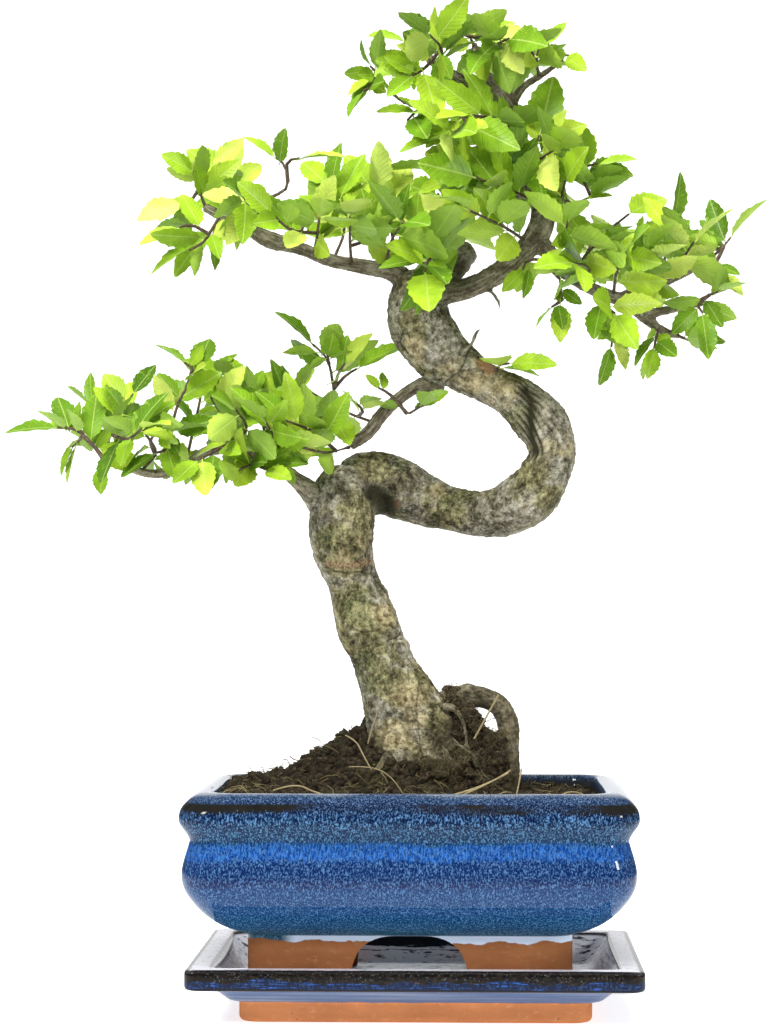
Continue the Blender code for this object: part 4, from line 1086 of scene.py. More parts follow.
def limb_coordinates(places):
    """Girth of the nearest limb, and each place as if that limb were straight and stood on end."""
    nearest = np.full(len(places), 1e9)
    girth = np.zeros(len(places))
    straight = np.zeros((len(places), 3))
    for number, (stations, *_) in enumerate(LIMBS):
        line = smooth_route(stations, RING_STEP)
        tree = KDTree(len(line))
        for row, point in enumerate(line):
            tree.insert(point[:3], row)
        tree.balance()
        rows = np.array([tree.find(place)[1] for place in places])
        offsets = places - line[rows, :3]
        outside = np.linalg.norm(offsets, axis=1) - line[rows, 3]
        closer = outside < nearest
        nearest[closer] = outside[closer]
        girth[closer] = line[rows, 3][closer]
        local = np.einsum("ij,ikj->ik", offsets, np.array(limb_frames(line))[rows])
        local[:, 2] += rows * RING_STEP + number * LIMB_APART
        straight[closer] = local[closer]
    return girth, straight


def weather_bark(trunk):
    """Gives the skin its lumps, plates, hollows and scars, and stores masks for its colours, one of them for
    painted shade in its recesses.
    """
    mesh = trunk.data
    places = columns(mesh.vertices, "co") / MM
    outwards = columns(mesh.vertex_normals, "vector")
    front = np.clip(0.6 - 1.6 * outwards[:, 1], 0, 1)
    girth, straight = limb_coordinates(places)
    thick = np.clip((girth - 1) / 9, 0.08, 1)
    broad = noise_at(straight, (9, 9, 12))
    plates = 1 - 2 * np.abs(noise_at(places, (3.6, 3.6, 4.5)))
    pits = np.clip(-noise_at(straight, (2.4, 2.4, 2.0)) - 0.2, 0, 1)
    rough = noise_at(places, 2.1)
    fine = noise_at(places, 1.1)
    rugged = 0.35 + 0.65 * np.clip(noise_at(places, 22) * 2 + 0.5, 0, 1)
    relief = thick * (0.8 * broad + rugged * (0.4 * plates + 0.7 * rough) - 1.0 * pits) + 0.3 * fine
    hollow = np.zeros(len(places))
    for targets, sign in ((HOLLOWS, -1), (LUMPS, 1)):
        for spot, radius, height in targets:
            away = away_from(places, *spot) / radius
            rise = np.clip(1 - away**2, 0, 1) ** 1.5 * front
            relief += sign * height * rise
            hollow = np.maximum(hollow, rise * (sign < 0))
    groove = near_path(places, front, GROOVE, 8)
    round_limb = np.arctan2(straight[:, 1], straight[:, 0])
    swirl = groove * np.sin(round_limb * 24 + 2 * noise_at(places, 9))
    fold = near_path(places, front, FOLD, 7.5)
    crack = np.max([near_path(places, front, path, 1.1) for path in CRACKS], axis=0)
    relief += 0.8 * swirl - 2.6 * groove**2 - 3.2 * fold**1.5 - 0.8 * crack
    places += outwards * relief[:, None]
    mesh.vertices.foreach_set("co", (places * MM).astype(np.float32).ravel())
    mesh.update()
    # Painted shade: a mask that darkens hollows, cracks, the groove, the fold and the gaps between the
    # groove's ridges.
    between_ridges = np.clip(-1.2 * swirl, 0, 1)
    dark = np.maximum.reduce([0.5 * hollow, 0.65 * crack, 0.8 * groove**2, fold, between_ridges])
    masks = {
        "girth": girth, "hollow": dark, "ridge": np.clip(swirl, 0, 1), "pit": np.clip(pits * 4, 0, 1),
        "raised": np.clip(0.5 + 0.6 * rough + 0.5 * fine, 0, 1),
        "ring_band": near_path(places, front, RING_BAND, 3.4)}
    masks |= {name: near_points(places, front, targets) for name, targets in PATCHES.items()}
    for name, values in masks.items():
        store(mesh, name, "FLOAT", values)
    store(mesh, "straight", "FLOAT_VECTOR", straight)


def patched(place, mask, stretch, base, colour, start):
    """The base with soft patches of the colour, where the mask plus noise is over the start."""
    there = between(mask * 0.35 + grain(place, stretch, 4.0, 0.7), start, start + 0.28)
    return mixed(there * 0.9, base, colour)


def bark():
    """Silver-grey bark with ragged olive, buff and mossy patches, and painted shade in its hollows, cracks
    and fold. Thin limbs are browner.
    """
    made, shader, place = shading("bark")
    girth, hollow, ridge, pit, raised, ring_band = [
        stored(place, name) for name in ("girth", "hollow", "ridge", "pit", "raised", "ring_band")]
    own = {name: stored(place, name) for name in PATCHES}
    straight = stored(place, "straight", "Vector")
    wide = grain(straight, (0.13, 0.13, 0.10), 3.0, 0.6)
    blotch = grain(straight, (0.36, 0.36, 0.28), 5.0, 0.7)
    grains = grain(place, 0.95, 2.0, 0.6)
    along = grain(straight, (0.9, 0.9, 0.12), 3.0, 0.6)
    tone = blotch * 0.38 + grains * 0.24 + wide * 0.38 + (raised - 0.56) * 0.13
    colours = {name: ramp(tone, stops) for name, stops in BARK_COLOURS.items()}
    skin = colours["silver"]
    for name, stretch, start in (("olive", (0.085, 0.085, 0.11), 0.44), ("green", (0.10, 0.10, 0.08), 0.52),
                                 ("buff", 0.11, 0.54), ("silver", 0.12, 0.56)):
        skin = patched(place, own[name], stretch, skin, colours[name], start)

    lichen = between(grain(place, (0.8, 0.8, 0.7), 3.0, 0.7), 0.59, 0.68)
    skin = mixed(lichen * 0.45, skin, (0.50, 0.46, 0.27))
    specks = between(grain(place, 0.75, 3.0, 0.7), 0.41, 0.34)
    skin = mixed(larger(specks * 0.65, pit * 0.5), skin, (0.040, 0.036, 0.018))
    rust = mixed(grains, (0.16, 0.05, 0.015), (0.42, 0.21, 0.09))
    skin = mixed(own["rust"] * between(blotch, 0.40, 0.5), skin, rust)
    band = mixed(between(grains, 0.35, 0.65), (0.10, 0.06, 0.03), (0.34, 0.25, 0.14))
    skin = mixed(between(ring_band * blotch, 0.16, 0.42), skin, band)
    twig = ramp(along * 0.5 + tone * 0.5, [
        (0.36, (0.040, 0.032, 0.020)), (0.48, (0.15, 0.13, 0.085)), (0.6, (0.36, 0.33, 0.24))])
    skin = mixed(between(girth, *THIN_LIMBS), skin, twig)
    skin = patched(place, own["earthy"], 0.14, skin, colours["earthy"], 0.53)
    # Painted shade: dark bark in patches in the hollows, the fold, under the arching root and round the
    # trunk's foot. The bark also turns darker towards the soil.
    darker_bark = mixed(tone, (0.008, 0.007, 0.004), (0.11, 0.10, 0.055))
    near_soil = between(coordinate(place, 2) + blotch * 16.0, *DARKER_BELOW)
    skin = mixed(larger(own["painted_shade"] * 0.9, near_soil), skin, darker_bark)
    skin = mixed(ridge * 0.7, skin, (0.52, 0.49, 0.34))
    # Painted shade: hollows, cracks, the groove and the fold are darkened.
    shade = mixed(grains, (0.010, 0.010, 0.005), (0.06, 0.055, 0.025))
    skin = mixed(between(hollow, 0.15, 0.7), skin, shade)
    set_inputs(shader, {"Base Color": skin, "Roughness": 0.85, "Specular IOR Level": 0.2})
    bumped(shader, blotch + grains * 0.7, 1.2)
    return made


def make_trunk():
    shapes = []
    for stations, sides, rings_apart, lumps in LIMBS:
        line = smooth_route(stations, RING_STEP)
        shapes.append(limb_shape(line, sides, RING_STEP / rings_apart, lumps))
    trunk = remeshed("elm_trunk", shapes, BARK_GRAIN)
    weather_bark(trunk)
    trunk.data.shade_smooth()
    trunk.data.materials.append(bark())
    finish_piece(trunk, "bark", "trunk")


make_trunk()

# Leafy twigs: each spray is a dark twig with alternate elm leaves, which are stiff, glossy ellipses
# with saw-toothed edges and paler undersides. Every twig grows out of its own limb.
TWIG_STEP = 12
TWIG_SIDES = 3
CAD_TWIG = (1.25, 0.85)
TWIG_GAP = 0.35
FINE_STEP = 4
FINE_TWIG = (0.95, 0.5)
BLADE_THICKNESS = 0.72
LARGE_OUTLINE = [
    (0, 0), (0.38, 1), (0.46, 0.76), (0.76, 0.66), (1, 0), (0.7, -0.7), (0.42, -0.8), (0.34, -1),
]
SMALL_OUTLINE = [(0, 0), (0.44, 1), (0.56, 0.7), (1, 0), (0.68, -0.66), (0.36, -1)]
LARGE_LEAF = 26
FIRST_LEAF_AT = 0.3
LEAF_LENGTHS = (0.88, 1.2)
LEAF_HALF_WIDTHS = (0.19, 0.28)
LEAF_ARCHES = (0, 0.24)
BASAL_LEAF = 0.82
FACING = [(0, 0.4), (-0.32, 0.42), (0.9, 0.35)]
LEAF_SPLAY = (50, 9)
LEAF_SWERVE = 7
LEAF_ROLL = 20
LEAF_DROOP = 0.35
TIP_OVERLAP = 1.5
TREE_TOP = 459
SPINS = (0, 20, -20, 40, -40, 65, -65, 90, -90, 120, -120, 150, -150, 180)
SHRINK = 0.985
ARCH_STEP = 0.06
YOUNG_LENGTHS = (0.55, 1.05)
YOUNG_SIZE = 20
YOUNG_PLACES = (0.08, 1)
TEETH = 6
LEAF_BASE = 0.1
LEAF_THICKNESS = 0.013
LEAF_FULLNESS = (0.85, 0.66)
LEAF_GREENS = [
    (0.0, (0.055, 0.14, 0.006)), (0.3, (0.155, 0.32, 0.012)), (0.6, (0.33, 0.55, 0.022)),
    (0.8, (0.50, 0.70, 0.045)), (1.0, (0.72, 0.84, 0.16)),
]

# Each twig: the count and length of its grown leaves, a seed, the draws of its younger leaves, its stations
SPRAYS = {
    "left_1": [
        (4, 24, 77, [73, 131, 220],
         [(-142, -16, 248), (-147, -18, 255), (-155, -19, 262), (-163, -18, 263)]),
        (1, 17, 7, [98, 107], [(-149, -18, 257), (-152, -17, 261), (-154, -16, 263)]),
        (2, 14, 14, [19, 184], [(-149, -18, 257), (-154, -14, 257), (-157, -14, 254)]),
        (1, 14, 65, [18, 68], [(-143, -17, 250), (-142, -22, 247), (-143, -22, 244)]),
    ],
    "left_2": [
        (5, 21, 91, [18, 102, 145, 168, 184, 256],
         [(-141, -16, 248), (-140, -14, 258), (-135, -10, 270), (-130, -6, 279)]),
        (4, 24, 55, [33, 34, 54, 56, 124], [(-140, -14, 258), (-129, -32, 257), (-121, -46, 261)]),
        (2, 20, 100, [70, 81, 253], [(-138, -12, 264), (-146, -8, 271), (-150, -6, 274)]),
    ],
    "left_3": [
        (4, 22, 18, [42, 102, 137, 219, 247],
         [(-125, -16, 243), (-120, -2, 252), (-127, 10, 263), (-133, 22, 276)]),
        (3, 24, 127, [70, 137], [(-120, -2, 252), (-120, -22, 257), (-113, -38, 262)]),
    ],
    "left_4": [
        (4, 22, 35, [90, 91, 106, 167, 228],
         [(-109, -15, 244), (-111, -18, 257), (-109, -15, 272), (-102, -11, 286), (-99, -9, 291)]),
        (1, 18, 8, [24, 27], [(-111, -18, 254), (-114, -23, 252), (-118, -24, 251)]),
        (1, 22, 54, [67, 223], [(-102, -11, 286), (-103, -11, 291), (-106, -11, 293)]),
    ],
    "left_5": [
        (4, 23, 82, [2, 47, 111, 158, 197],
         [(-105, -15, 246), (-104, 8, 262), (-102, 24, 279), (-101, 28, 288)]),
    ],
    "left_6": [
        (4, 22, 123, [108, 122, 149, 216, 218], [(-93, -12, 253), (-88, -14, 265), (-94, -10, 277)]),
        (3, 23, 128, [76, 134, 145, 243], [(-88, -14, 265), (-88, 14, 270), (-97, 38, 277)]),
    ],
    "left_7": [
        (4, 24, 35, [8, 59, 208, 238, 250], [(-86, -12, 254), (-76, -30, 262), (-80, -44, 270)]),
        (3, 21, 112, [77, 112, 239, 240], [(-80, -22, 259), (-90, -36, 251), (-97, -42, 247)]),
    ],
    "left_8": [
        (3, 24, 48, [64, 161, 184, 211], [(-77, -11, 251), (-73, -24, 247), (-79, -36, 243)]),
        (2, 22, 57, [42, 150, 186], [(-73, -24, 247), (-67, -36, 243)]),
    ],
    "left_9": [
        (4, 24, 21, [18, 81, 164, 204, 241], [(-71, -10, 248), (-71, 8, 263), (-78, 22, 281)]),
        (3, 23, 24, [97, 113, 179, 182], [(-71, 8, 263), (-62, 24, 271), (-57, 32, 282)]),
        (2, 20, 32, [47, 121, 202], [(-74, 15, 272), (-81, 16, 283), (-90, 16, 288)]),
    ],
    "left_10": [
        (4, 25, 90, [66, 149, 151, 154, 166], [(-61, -9, 243), (-62, -26, 254), (-67, -40, 265)]),
    ],
    "back_1": [
        (3, 27, 56, [13, 46, 180, 198],
         [(-29, 12, 258), (-37, 10, 270), (-39, 6, 284), (-42, 2, 296), (-48, 0, 302)]),
        (2, 19, 47, [129, 147], [(-39, 6, 284), (-36, 1, 289), (-33, -3, 293)]),
        (1, 25, 96, [], [(-37, 8, 279), (-33, 6, 288), (-28, 5, 291)]),
        (1, 14, 15, [6, 36], [(-40, 4, 290), (-41, -1, 295), (-41, -3, 297)]),
        (3, 24, 126, [96, 105, 125, 144], [(-37, 10, 270), (-45, -4, 267), (-55, -14, 271)]),
    ],
    "back_2": [
        (3, 25, 16, [37, 194, 195, 209], [(-32, 11, 255), (-41, -6, 252), (-54, -26, 254)]),
        (3, 25, 50, [20, 31, 148, 249], [(-37, 0, 253), (-47, -20, 261), (-58, -36, 265)]),
    ],
    "back_3": [
        (4, 25, 84, [75, 103, 137, 158, 190], [(-19, 12, 266), (-33, 28, 272), (-52, 40, 283)]),
        (2, 16, 116, [36, 88], [(-23, 17, 268), (-26, 12, 273), (-29, 10, 276)]),
    ],
    "back_4": [
        (3, 14, 5, [252], [(-9, 12, 277), (-5, 2, 270), (3, -4, 274)]),
        (2, 10, 34, [91], [(-8, 9, 275), (-14, 3, 280), (-18, 1, 282)]),
    ],
    "upper_1": [
        (4, 20, 128, [172, 186, 224, 233, 241],
         [(-96, -9, 363), (-99, -9, 370), (-98, -10, 376), (-93, -11, 381)]),
        (1, 24, 50, [46, 88], [(-99, -9, 369), (-103, -12, 367), (-107, -15, 365)]),
        (1, 20, 38, [153, 249], [(-98, -10, 376), (-100, -12, 378), (-102, -13, 380)]),
    ],
    "upper_2": [
        (4, 25, 12, [15, 45, 134, 185, 250],
         [(-90, -9, 360), (-93, -20, 352), (-96, -26, 346), (-102, -29, 342)]),
        (2, 19, 20, [96, 173], [(-94, -22, 350), (-102, -24, 354), (-107, -25, 353)]),
    ],
    "upper_3": [
        (4, 22, 109, [16, 117, 123, 183, 218],
         [(-82, -9, 357), (-79, 4, 367), (-84, 8, 377), (-90, 10, 382)]),
        (2, 23, 39, [56, 227, 249], [(-80, 1, 364), (-79, 22, 368), (-85, 38, 373)]),
    ],
    "upper_4": [
        (3, 18, 95, [103, 110, 121, 153],
         [(-75, -9, 354), (-69, -14, 366), (-59, -16, 372), (-60, -16, 382), (-64, -16, 386)]),
        (1, 20, 76, [], [(-60, -16, 380), (-58, -17, 384), (-53, -18, 385)]),
        (3, 24, 42, [27, 93, 123, 183], [(-72, -11, 360), (-74, -28, 361), (-77, -40, 365)]),
    ],
    "upper_5": [
        (3, 25, 65, [4, 67, 183, 216], [(-47, -7, 343), (-45, -20, 349), (-43, -36, 356)]),
        (3, 24, 51, [91, 115, 127, 153], [(-45, -17, 348), (-56, -30, 351), (-64, -38, 357)]),
    ],
    "upper_6": [
        (4, 26, 66, [141, 206, 208, 244, 255], [(-54, -8, 345), (-53, 12, 358), (-47, 22, 372)]),
    ],
    "upper_7": [
        (4, 24, 1, [196, 220, 243, 251, 252],
         [(-38, -6, 340), (-34, 10, 356), (-36, 18, 370), (-43, 22, 379)]),
    ],
    "upper_8": [
        (3, 25, 97, [6, 130, 175, 208], [(-30, -4, 338), (-30, -22, 347), (-29, -40, 356)]),
        (3, 24, 46, [19, 35, 39, 181], [(-30, -13, 343), (-21, -12, 349), (-11, -14, 357)]),
    ],
    "upper_9": [
        (3, 27, 78, [13, 27, 42, 182], [(-15, 0, 336), (-11, -24, 347), (-5, -44, 353)]),
    ],
    "upper_10": [
        (4, 25, 5, [49, 141, 159, 184, 203],
         [(-11, 2, 335), (-12, 20, 354), (-16, 30, 370), (-23, 33, 379)]),
    ],
    "middle_1": [
        (3, 28, 43, [5, 157, 201, 221], [(10, 6, 335), (9, -14, 343), (2, -34, 348)]),
        (3, 26, 39, [129, 148, 189, 252], [(10, -4, 339), (5, -24, 337), (4, -36, 331)]),
    ],
    "middle_2": [
        (3, 26, 65, [46, 60, 139, 239], [(23, 9, 346), (17, 26, 361), (9, 36, 376)]),
    ],
    "middle_3": [
        (4, 27, 115, [41, 93, 106, 111, 216], [(52, -5, 347), (39, -24, 353), (23, -36, 359)]),
    ],
    "middle_4": [
        (3, 26, 35, [43, 100, 159, 190], [(58, 1, 365), (45, -18, 369), (27, -30, 374)]),
        (2, 25, 16, [33, 109, 153], [(51, -8, 367), (38, 12, 367), (23, 26, 370)]),
    ],
    "middle_5": [
        (3, 26, 52, [49, 55, 58, 130], [(53, 5, 377), (40, -8, 382), (23, -20, 385)]),
        (3, 25, 56, [30, 146, 162, 185], [(46, -2, 380), (33, 18, 383), (10, 30, 386)]),
    ],
    "middle_6": [
        (3, 25, 109, [149, 177, 188, 246], [(48, 7, 390), (37, 14, 393), (24, 20, 395), (15, 22, 393)]),
    ],
    "top_1": [
        (3, 21, 123, [], [(1, -3, 436), (-2, -6, 438), (-5, -8, 440)]),
        (2, 17, 61, [16, 98, 149], [(-1, -5, 438), (-5, -11, 434), (-9, -13, 431)]),
    ],
    "top_2": [
        (4, 27, 45, [21, 136, 199, 232, 250], [(11, 0, 429), (11, -14, 436), (6, -22, 440)]),
        (3, 25, 19, [31, 59, 132, 143], [(11, -7, 432), (3, -18, 425), (-2, -24, 421)]),
    ],
    "top_3": [
        (3, 20, 0, [25, 112, 142, 171], [(27, 9, 438), (25, 6, 443), (18, 2, 446)]),
        (1, 12, 114, [103, 178], [(23, 5, 444), (21, 6, 447), (20, 6, 449)]),
        (1, 18, 111, [76, 130], [(26, 7, 441), (30, 6, 444), (34, 5, 446)]),
    ],
    "top_4": [
        (4, 26, 25, [69, 144, 153, 199, 254], [(28, 8, 435), (36, -8, 438), (42, -18, 439)]),
        (3, 24, 114, [53, 154, 178, 229], [(32, 0, 437), (37, 18, 442), (42, 30, 448)]),
    ],
    "top_5": [
        (2, 16, 98, [], [(65, -3, 431), (68, -5, 434), (71, -6, 433)]),
    ],
    "top_6": [
        (3, 24, 66, [178, 187, 188, 257], [(56, 1, 425), (54, -12, 430), (51, -20, 435)]),
        (3, 23, 0, [5, 152, 195, 198], [(55, -6, 428), (49, 14, 432), (45, 28, 438)]),
        (1, 17, 65, [119, 242], [(54, -12, 430), (56, -13, 435), (59, -13, 437)]),
    ],
    "top_7": [
        (4, 26, 47, [33, 48, 51, 60, 152], [(46, 8, 400), (36, -14, 403), (25, -26, 403)]),
    ],
    "top_8": [
        (3, 18, 3, [33, 111], [(-15, -15, 420), (-18, -16, 424), (-21, -17, 427)]),
        (3, 20, 123, [83, 85, 93, 196], [(-17, -16, 423), (-20, -22, 417), (-24, -26, 414)]),
    ],
    "top_9": [
        (3, 22, 103, [15, 40, 80, 173], [(5, -11, 409), (0, -18, 406), (-4, -24, 401)]),
    ],
    "top_10": [
        (4, 27, 102, [5, 54, 134, 251, 259], [(18, -7, 407), (22, -22, 400), (16, -32, 393)]),
    ],
    "right_1": [
        (4, 26, 120, [4, 90, 177, 224, 238], [(50, 6, 384), (56, -12, 385), (63, -24, 388)]),
        (2, 30, 39, [39, 117, 156], [(53, -3, 385), (54, -4, 391), (56, -4, 397)]),
    ],
    "right_2": [
        (3, 25, 51, [33, 97, 139, 187], [(58, -1, 361), (70, 8, 366), (80, 12, 371)]),
        (3, 23, 18, [80, 132, 136, 154], [(64, 3, 364), (66, -16, 368), (67, -26, 373)]),
        (3, 24, 9, [63, 147, 162, 232], [(61, 1, 362), (66, 12, 374), (71, 16, 383)]),
        (2, 22, 5, [105, 228, 239], [(69, 14, 379), (76, 12, 384), (83, 10, 386)]),
    ],
    "right_3": [
        (3, 24, 36, [52, 68, 139, 181], [(63, -8, 340), (66, -26, 347), (68, -36, 354)]),
    ],
    "right_4": [
        (3, 25, 56, [79, 171, 236, 241], [(70, -10, 332), (78, -24, 342), (85, -32, 347)]),
        (3, 24, 127, [70, 125, 146, 150], [(74, -17, 337), (83, 10, 351), (98, 22, 364)]),
    ],
    "right_5": [
        (2, 16, 7, [10, 31, 141], [(60, -7, 343), (65, -12, 333), (66, -14, 321)]),
        (1, 12, 66, [43, 215], [(66, -14, 323), (64, -17, 319), (61, -18, 317)]),
        (1, 17, 96, [107, 144], [(61, -9, 338), (54, -16, 339), (49, -17, 337), (48, -17, 334)]),
    ],
    "right_6": [
        (3, 24, 46, [55, 73, 97, 149], [(77, -11, 327), (77, -28, 334), (70, -38, 335)]),
    ],
    "right_7": [
        (3, 27, 108, [5, 17, 71, 184], [(82, -12, 324), (85, -24, 317), (89, -30, 313)]),
    ],
    "right_8": [
        (3, 25, 81, [104, 141, 154, 221], [(89, -12, 322), (90, -28, 332), (94, -38, 340)]),
        (3, 24, 122, [139, 141, 164, 190], [(89, -20, 328), (93, 6, 340), (101, 20, 350)]),
    ],
    "right_9": [
        (3, 24, 64, [18, 34, 38, 111], [(107, -8, 327), (106, -22, 335), (102, -32, 341)]),
        (3, 24, 69, [9, 91, 209, 233], [(106, -15, 331), (108, 12, 337), (109, 30, 345)]),
    ],
    "right_10": [
        (4, 25, 18, [41, 129, 234, 248, 259], [(112, -7, 328), (114, 8, 343), (118, 12, 359)]),
        (3, 24, 108, [110, 132, 166, 224], [(113, 1, 336), (120, -14, 339), (125, -22, 346)]),
    ],
    "right_11": [
        (3, 22, 10, [], [(133, -3, 340), (138, -3, 344), (143, -3, 350)]),
        (1, 24, 26, [87, 193], [(136, -3, 342), (137, 1, 345), (137, 3, 348)]),
        (2, 15, 125, [75, 209, 228], [(135, -3, 341), (136, -10, 334), (139, -13, 332)]),
    ],
    "right_12": [
        (2, 16, 124, [33, 163, 225], [(124, -10, 318), (131, -15, 322), (140, -17, 325)]),
        (1, 20, 79, [81, 219], [(127, -12, 320), (127, -18, 317), (129, -19, 314)]),
    ],
    "right_13": [
        (3, 18, 1, [122, 158], [(117, -12, 305), (121, -14, 303), (126, -16, 301)]),
    ],
    "right_14": [
        (3, 18, 76, [21, 142, 253], [(110, -12, 308), (108, -19, 303), (107, -21, 298)]),
    ],
    "right_15": [
        (3, 18, 40, [22, 26, 133], [(99, -12, 317), (92, -14, 311), (89, -16, 305), (88, -16, 299)]),
    ],
    "shoot": [
        (2, 26, 8, [17], [(33, -2, 283), (37, -10, 291), (42, -13, 292)]),
    ],
}


def search_tree(points, faces):
    return BVHTree.FromPolygons([Vector(point) for point in points], faces)


def clear_of_bark(wood, centre, axis, radius):
    """Whether a twig's end stays the gap away from the bark."""
    across = axis.orthogonal().normalized()
    beside = axis.cross(across)
    rim = [centre]
    for k in range(8):
        turn = math.pi * k / 4
        rim.append(centre + (across * math.cos(turn) + beside * math.sin(turn)) * radius)
    for point in rim:
        nearest, normal, _, distance = wood.find_nearest(point)
        if distance < TWIG_GAP or (point - nearest).dot(normal) < 0:
            return False
    return True


def seat_on_bark(wood, stations):
    """The stations of a twig with the first moved out of its limb, to just off the bark."""
    inner = Vector(stations[0])
    outer = Vector(stations[1])
    axis = (outer - inner).normalized()
    hit = wood.ray_cast(outer, -axis, (outer - inner).length)[0]
    start = hit or inner
    while not clear_of_bark(wood, start, axis, CAD_TWIG[0]):
        start = start + axis * 0.1
    return [tuple(start)] + stations[1:]


def twig_line(stations, radii=CAD_TWIG, step=TWIG_STEP):
    """A smooth line of (x, y, z, radius) that thins towards the tip."""
    spread = np.linspace(*radii, len(stations))
    return smooth_route([(*station, radius) for station, radius in zip(stations, spread)], step)


def twig_lines(twigs, wood):
    """The lines of a spray's twigs. A side twig starts at the nearest point of the first one's axis."""
    lines = [twig_line(seat_on_bark(wood, twigs[0][-1]))]
    for *_, stations in twigs[1:]:
        offsets = np.linalg.norm(lines[0][:, :3] - np.array(stations[0]), axis=1)
        root = lines[0][int(offsets[1:].argmin()) + 1][:3]
        lines.append(twig_line([tuple(root)] + stations[1:]))
    return lines


def blade_shape(length, half_width, arch, matrix, margin=0.0):
    """The room that a leaf takes: an arched blade with its base at the matrix's origin."""
    outline = LARGE_OUTLINE if length > LARGE_LEAF else SMALL_OUTLINE
    points = []
    for side in (1, -1):
        for along, across in outline:
            lift = side * (BLADE_THICKNESS / 2 + margin) - arch * length * along**2
            points.append(matrix @ Vector((along * (length + margin), across * (half_width + margin), lift)))
    count = len(outline)
    blade = [(0, 1, count - 1)]
    for k in range(1, count // 2 - 1):
        blade.append((k, k + 1, count - k - 1))
        blade.append((k, count - k - 1, count - k))
    blade.append((count // 2 - 1, count // 2, count // 2 + 1))
    faces = blade + [tuple(k + count for k in reversed(face)) for face in blade]
    for k in range(count):
        after = (k + 1) % count
        faces.append((k, count + k, count + after, after))
    return points, faces


def leaf_matrix(draw, base, ahead, side, spin):
    """Where a leaf sits: side is 1 or -1 along a twig and 0 at its tip, spin turns it round the twig."""
    facing = Vector([draw.gauss(mean, spread) for mean, spread in FACING])
    facing = (facing - ahead * facing.dot(ahead)).normalized()
    splay = math.radians(draw.gauss(*LEAF_SPLAY) * side + draw.gauss(0, LEAF_SWERVE))
    along = Matrix.Rotation(splay, 3, facing) @ ahead
    along = (along + Vector((0, 0, -draw.uniform(0, LEAF_DROOP)))).normalized()
    facing = Matrix.Rotation(math.radians(draw.gauss(0, LEAF_ROLL)), 3, along) @ facing
    turn = Matrix.Rotation(math.radians(spin), 3, ahead)
    along = turn @ along
    facing = turn @ facing
    across = facing.cross(along).normalized()
    facing = along.cross(across)
    matrix = Matrix((along, across, facing)).transposed().to_4x4()
    matrix.translation = base
    return matrix


def bounding_ball(points):
    centre = sum((Vector(point) for point in points), Vector()) / len(points)
    return centre, max((Vector(point) - centre).length for point in points)


class Obstacles:
    """Shapes that are already placed, each with a search tree and a bounding ball."""

    def __init__(self):
        self.shapes = []

    def add(self, points, faces, owner=None):
        self.shapes.append((*bounding_ball(points), search_tree(points, faces), owner))

    def meets(self, points, faces, owner):
        """Whether a shape crosses one that belongs to another owner."""
        centre, reach = bounding_ball(points)
        tree = search_tree(points, faces)
        for other_centre, other_reach, other_tree, other_owner in self.shapes:
            if other_owner == owner or (centre - other_centre).length > reach + other_reach:
                continue
            if tree.overlap(other_tree):
                return True
        return False


def on_line(line, share):
    """The place and the direction at a share of a line's length, from 0 to 1."""
    row = share * (len(line) - 1)
    ahead = np.gradient(line[:, :3], axis=0)
    rows = range(len(line))
    place, direction = [
        Vector([np.interp(row, rows, values[:, k]) for k in range(3)]) for values in (line, ahead)]
    return place, direction.normalized()


def place_leaves(name, twigs, lines, placed):
    """Alternate leaves along each twig and one at its tip, each where it is clear of the rest."""
    leaves = []
    for order, ((count, size, seed, *_), line) in enumerate(zip(twigs, lines)):
        shares = np.linspace(FIRST_LEAF_AT, 1, count) if count > 1 else [1]
        for number, share in enumerate(shares):
            draw = random.Random(f"{seed} {name} {order} {number}")
            base, direction = on_line(line, share)
            side = 1 if number % 2 else -1
            fullness = BASAL_LEAF + (1 - BASAL_LEAF) * math.sin(math.pi * share)
            if number == count - 1:
                base = base - direction * TIP_OVERLAP
                side = 0
                fullness = 1
            length = size * draw.uniform(*LEAF_LENGTHS) * fullness
            half_width = length * draw.uniform(*LEAF_HALF_WIDTHS)
            arch = draw.uniform(*LEAF_ARCHES)
            own_seed = draw.random()
            for attempt, spin in enumerate(SPINS):
                scale = SHRINK**attempt
                matrix = leaf_matrix(random.Random(own_seed), base, direction, side, spin)
                leaf = (length * scale, half_width * scale, arch, matrix)
                too_high = (matrix @ Vector((length, 0, 0))).z > TREE_TOP
                if not too_high and not placed.meets(*blade_shape(*leaf, TWIG_GAP), (name, order)):
                    placed.add(*blade_shape(*leaf))
                    leaves.append(leaf)
                    break
    return leaves


def young_leaves(name, twigs, lines):
    """Younger, smaller leaves between the others. Each number drawn for a twig stands for one of them."""
    leaves = []
    for order, ((_, size, _, picks, _), line) in enumerate(zip(twigs, lines)):
        for pick in picks:
            draw = random.Random(f"{name} {order} more {pick}")
            base, direction = on_line(line, draw.uniform(*YOUNG_PLACES))
            length = max(size, YOUNG_SIZE) * draw.uniform(*YOUNG_LENGTHS)
            half_width = length * draw.uniform(*LEAF_HALF_WIDTHS)
            arch = draw.uniform(*LEAF_ARCHES)
            side = draw.choice((-1, 1))
            spin = draw.uniform(-90, 90)
            leaves.append((length, half_width, arch, leaf_matrix(draw, base, direction, side, spin)))
    return leaves


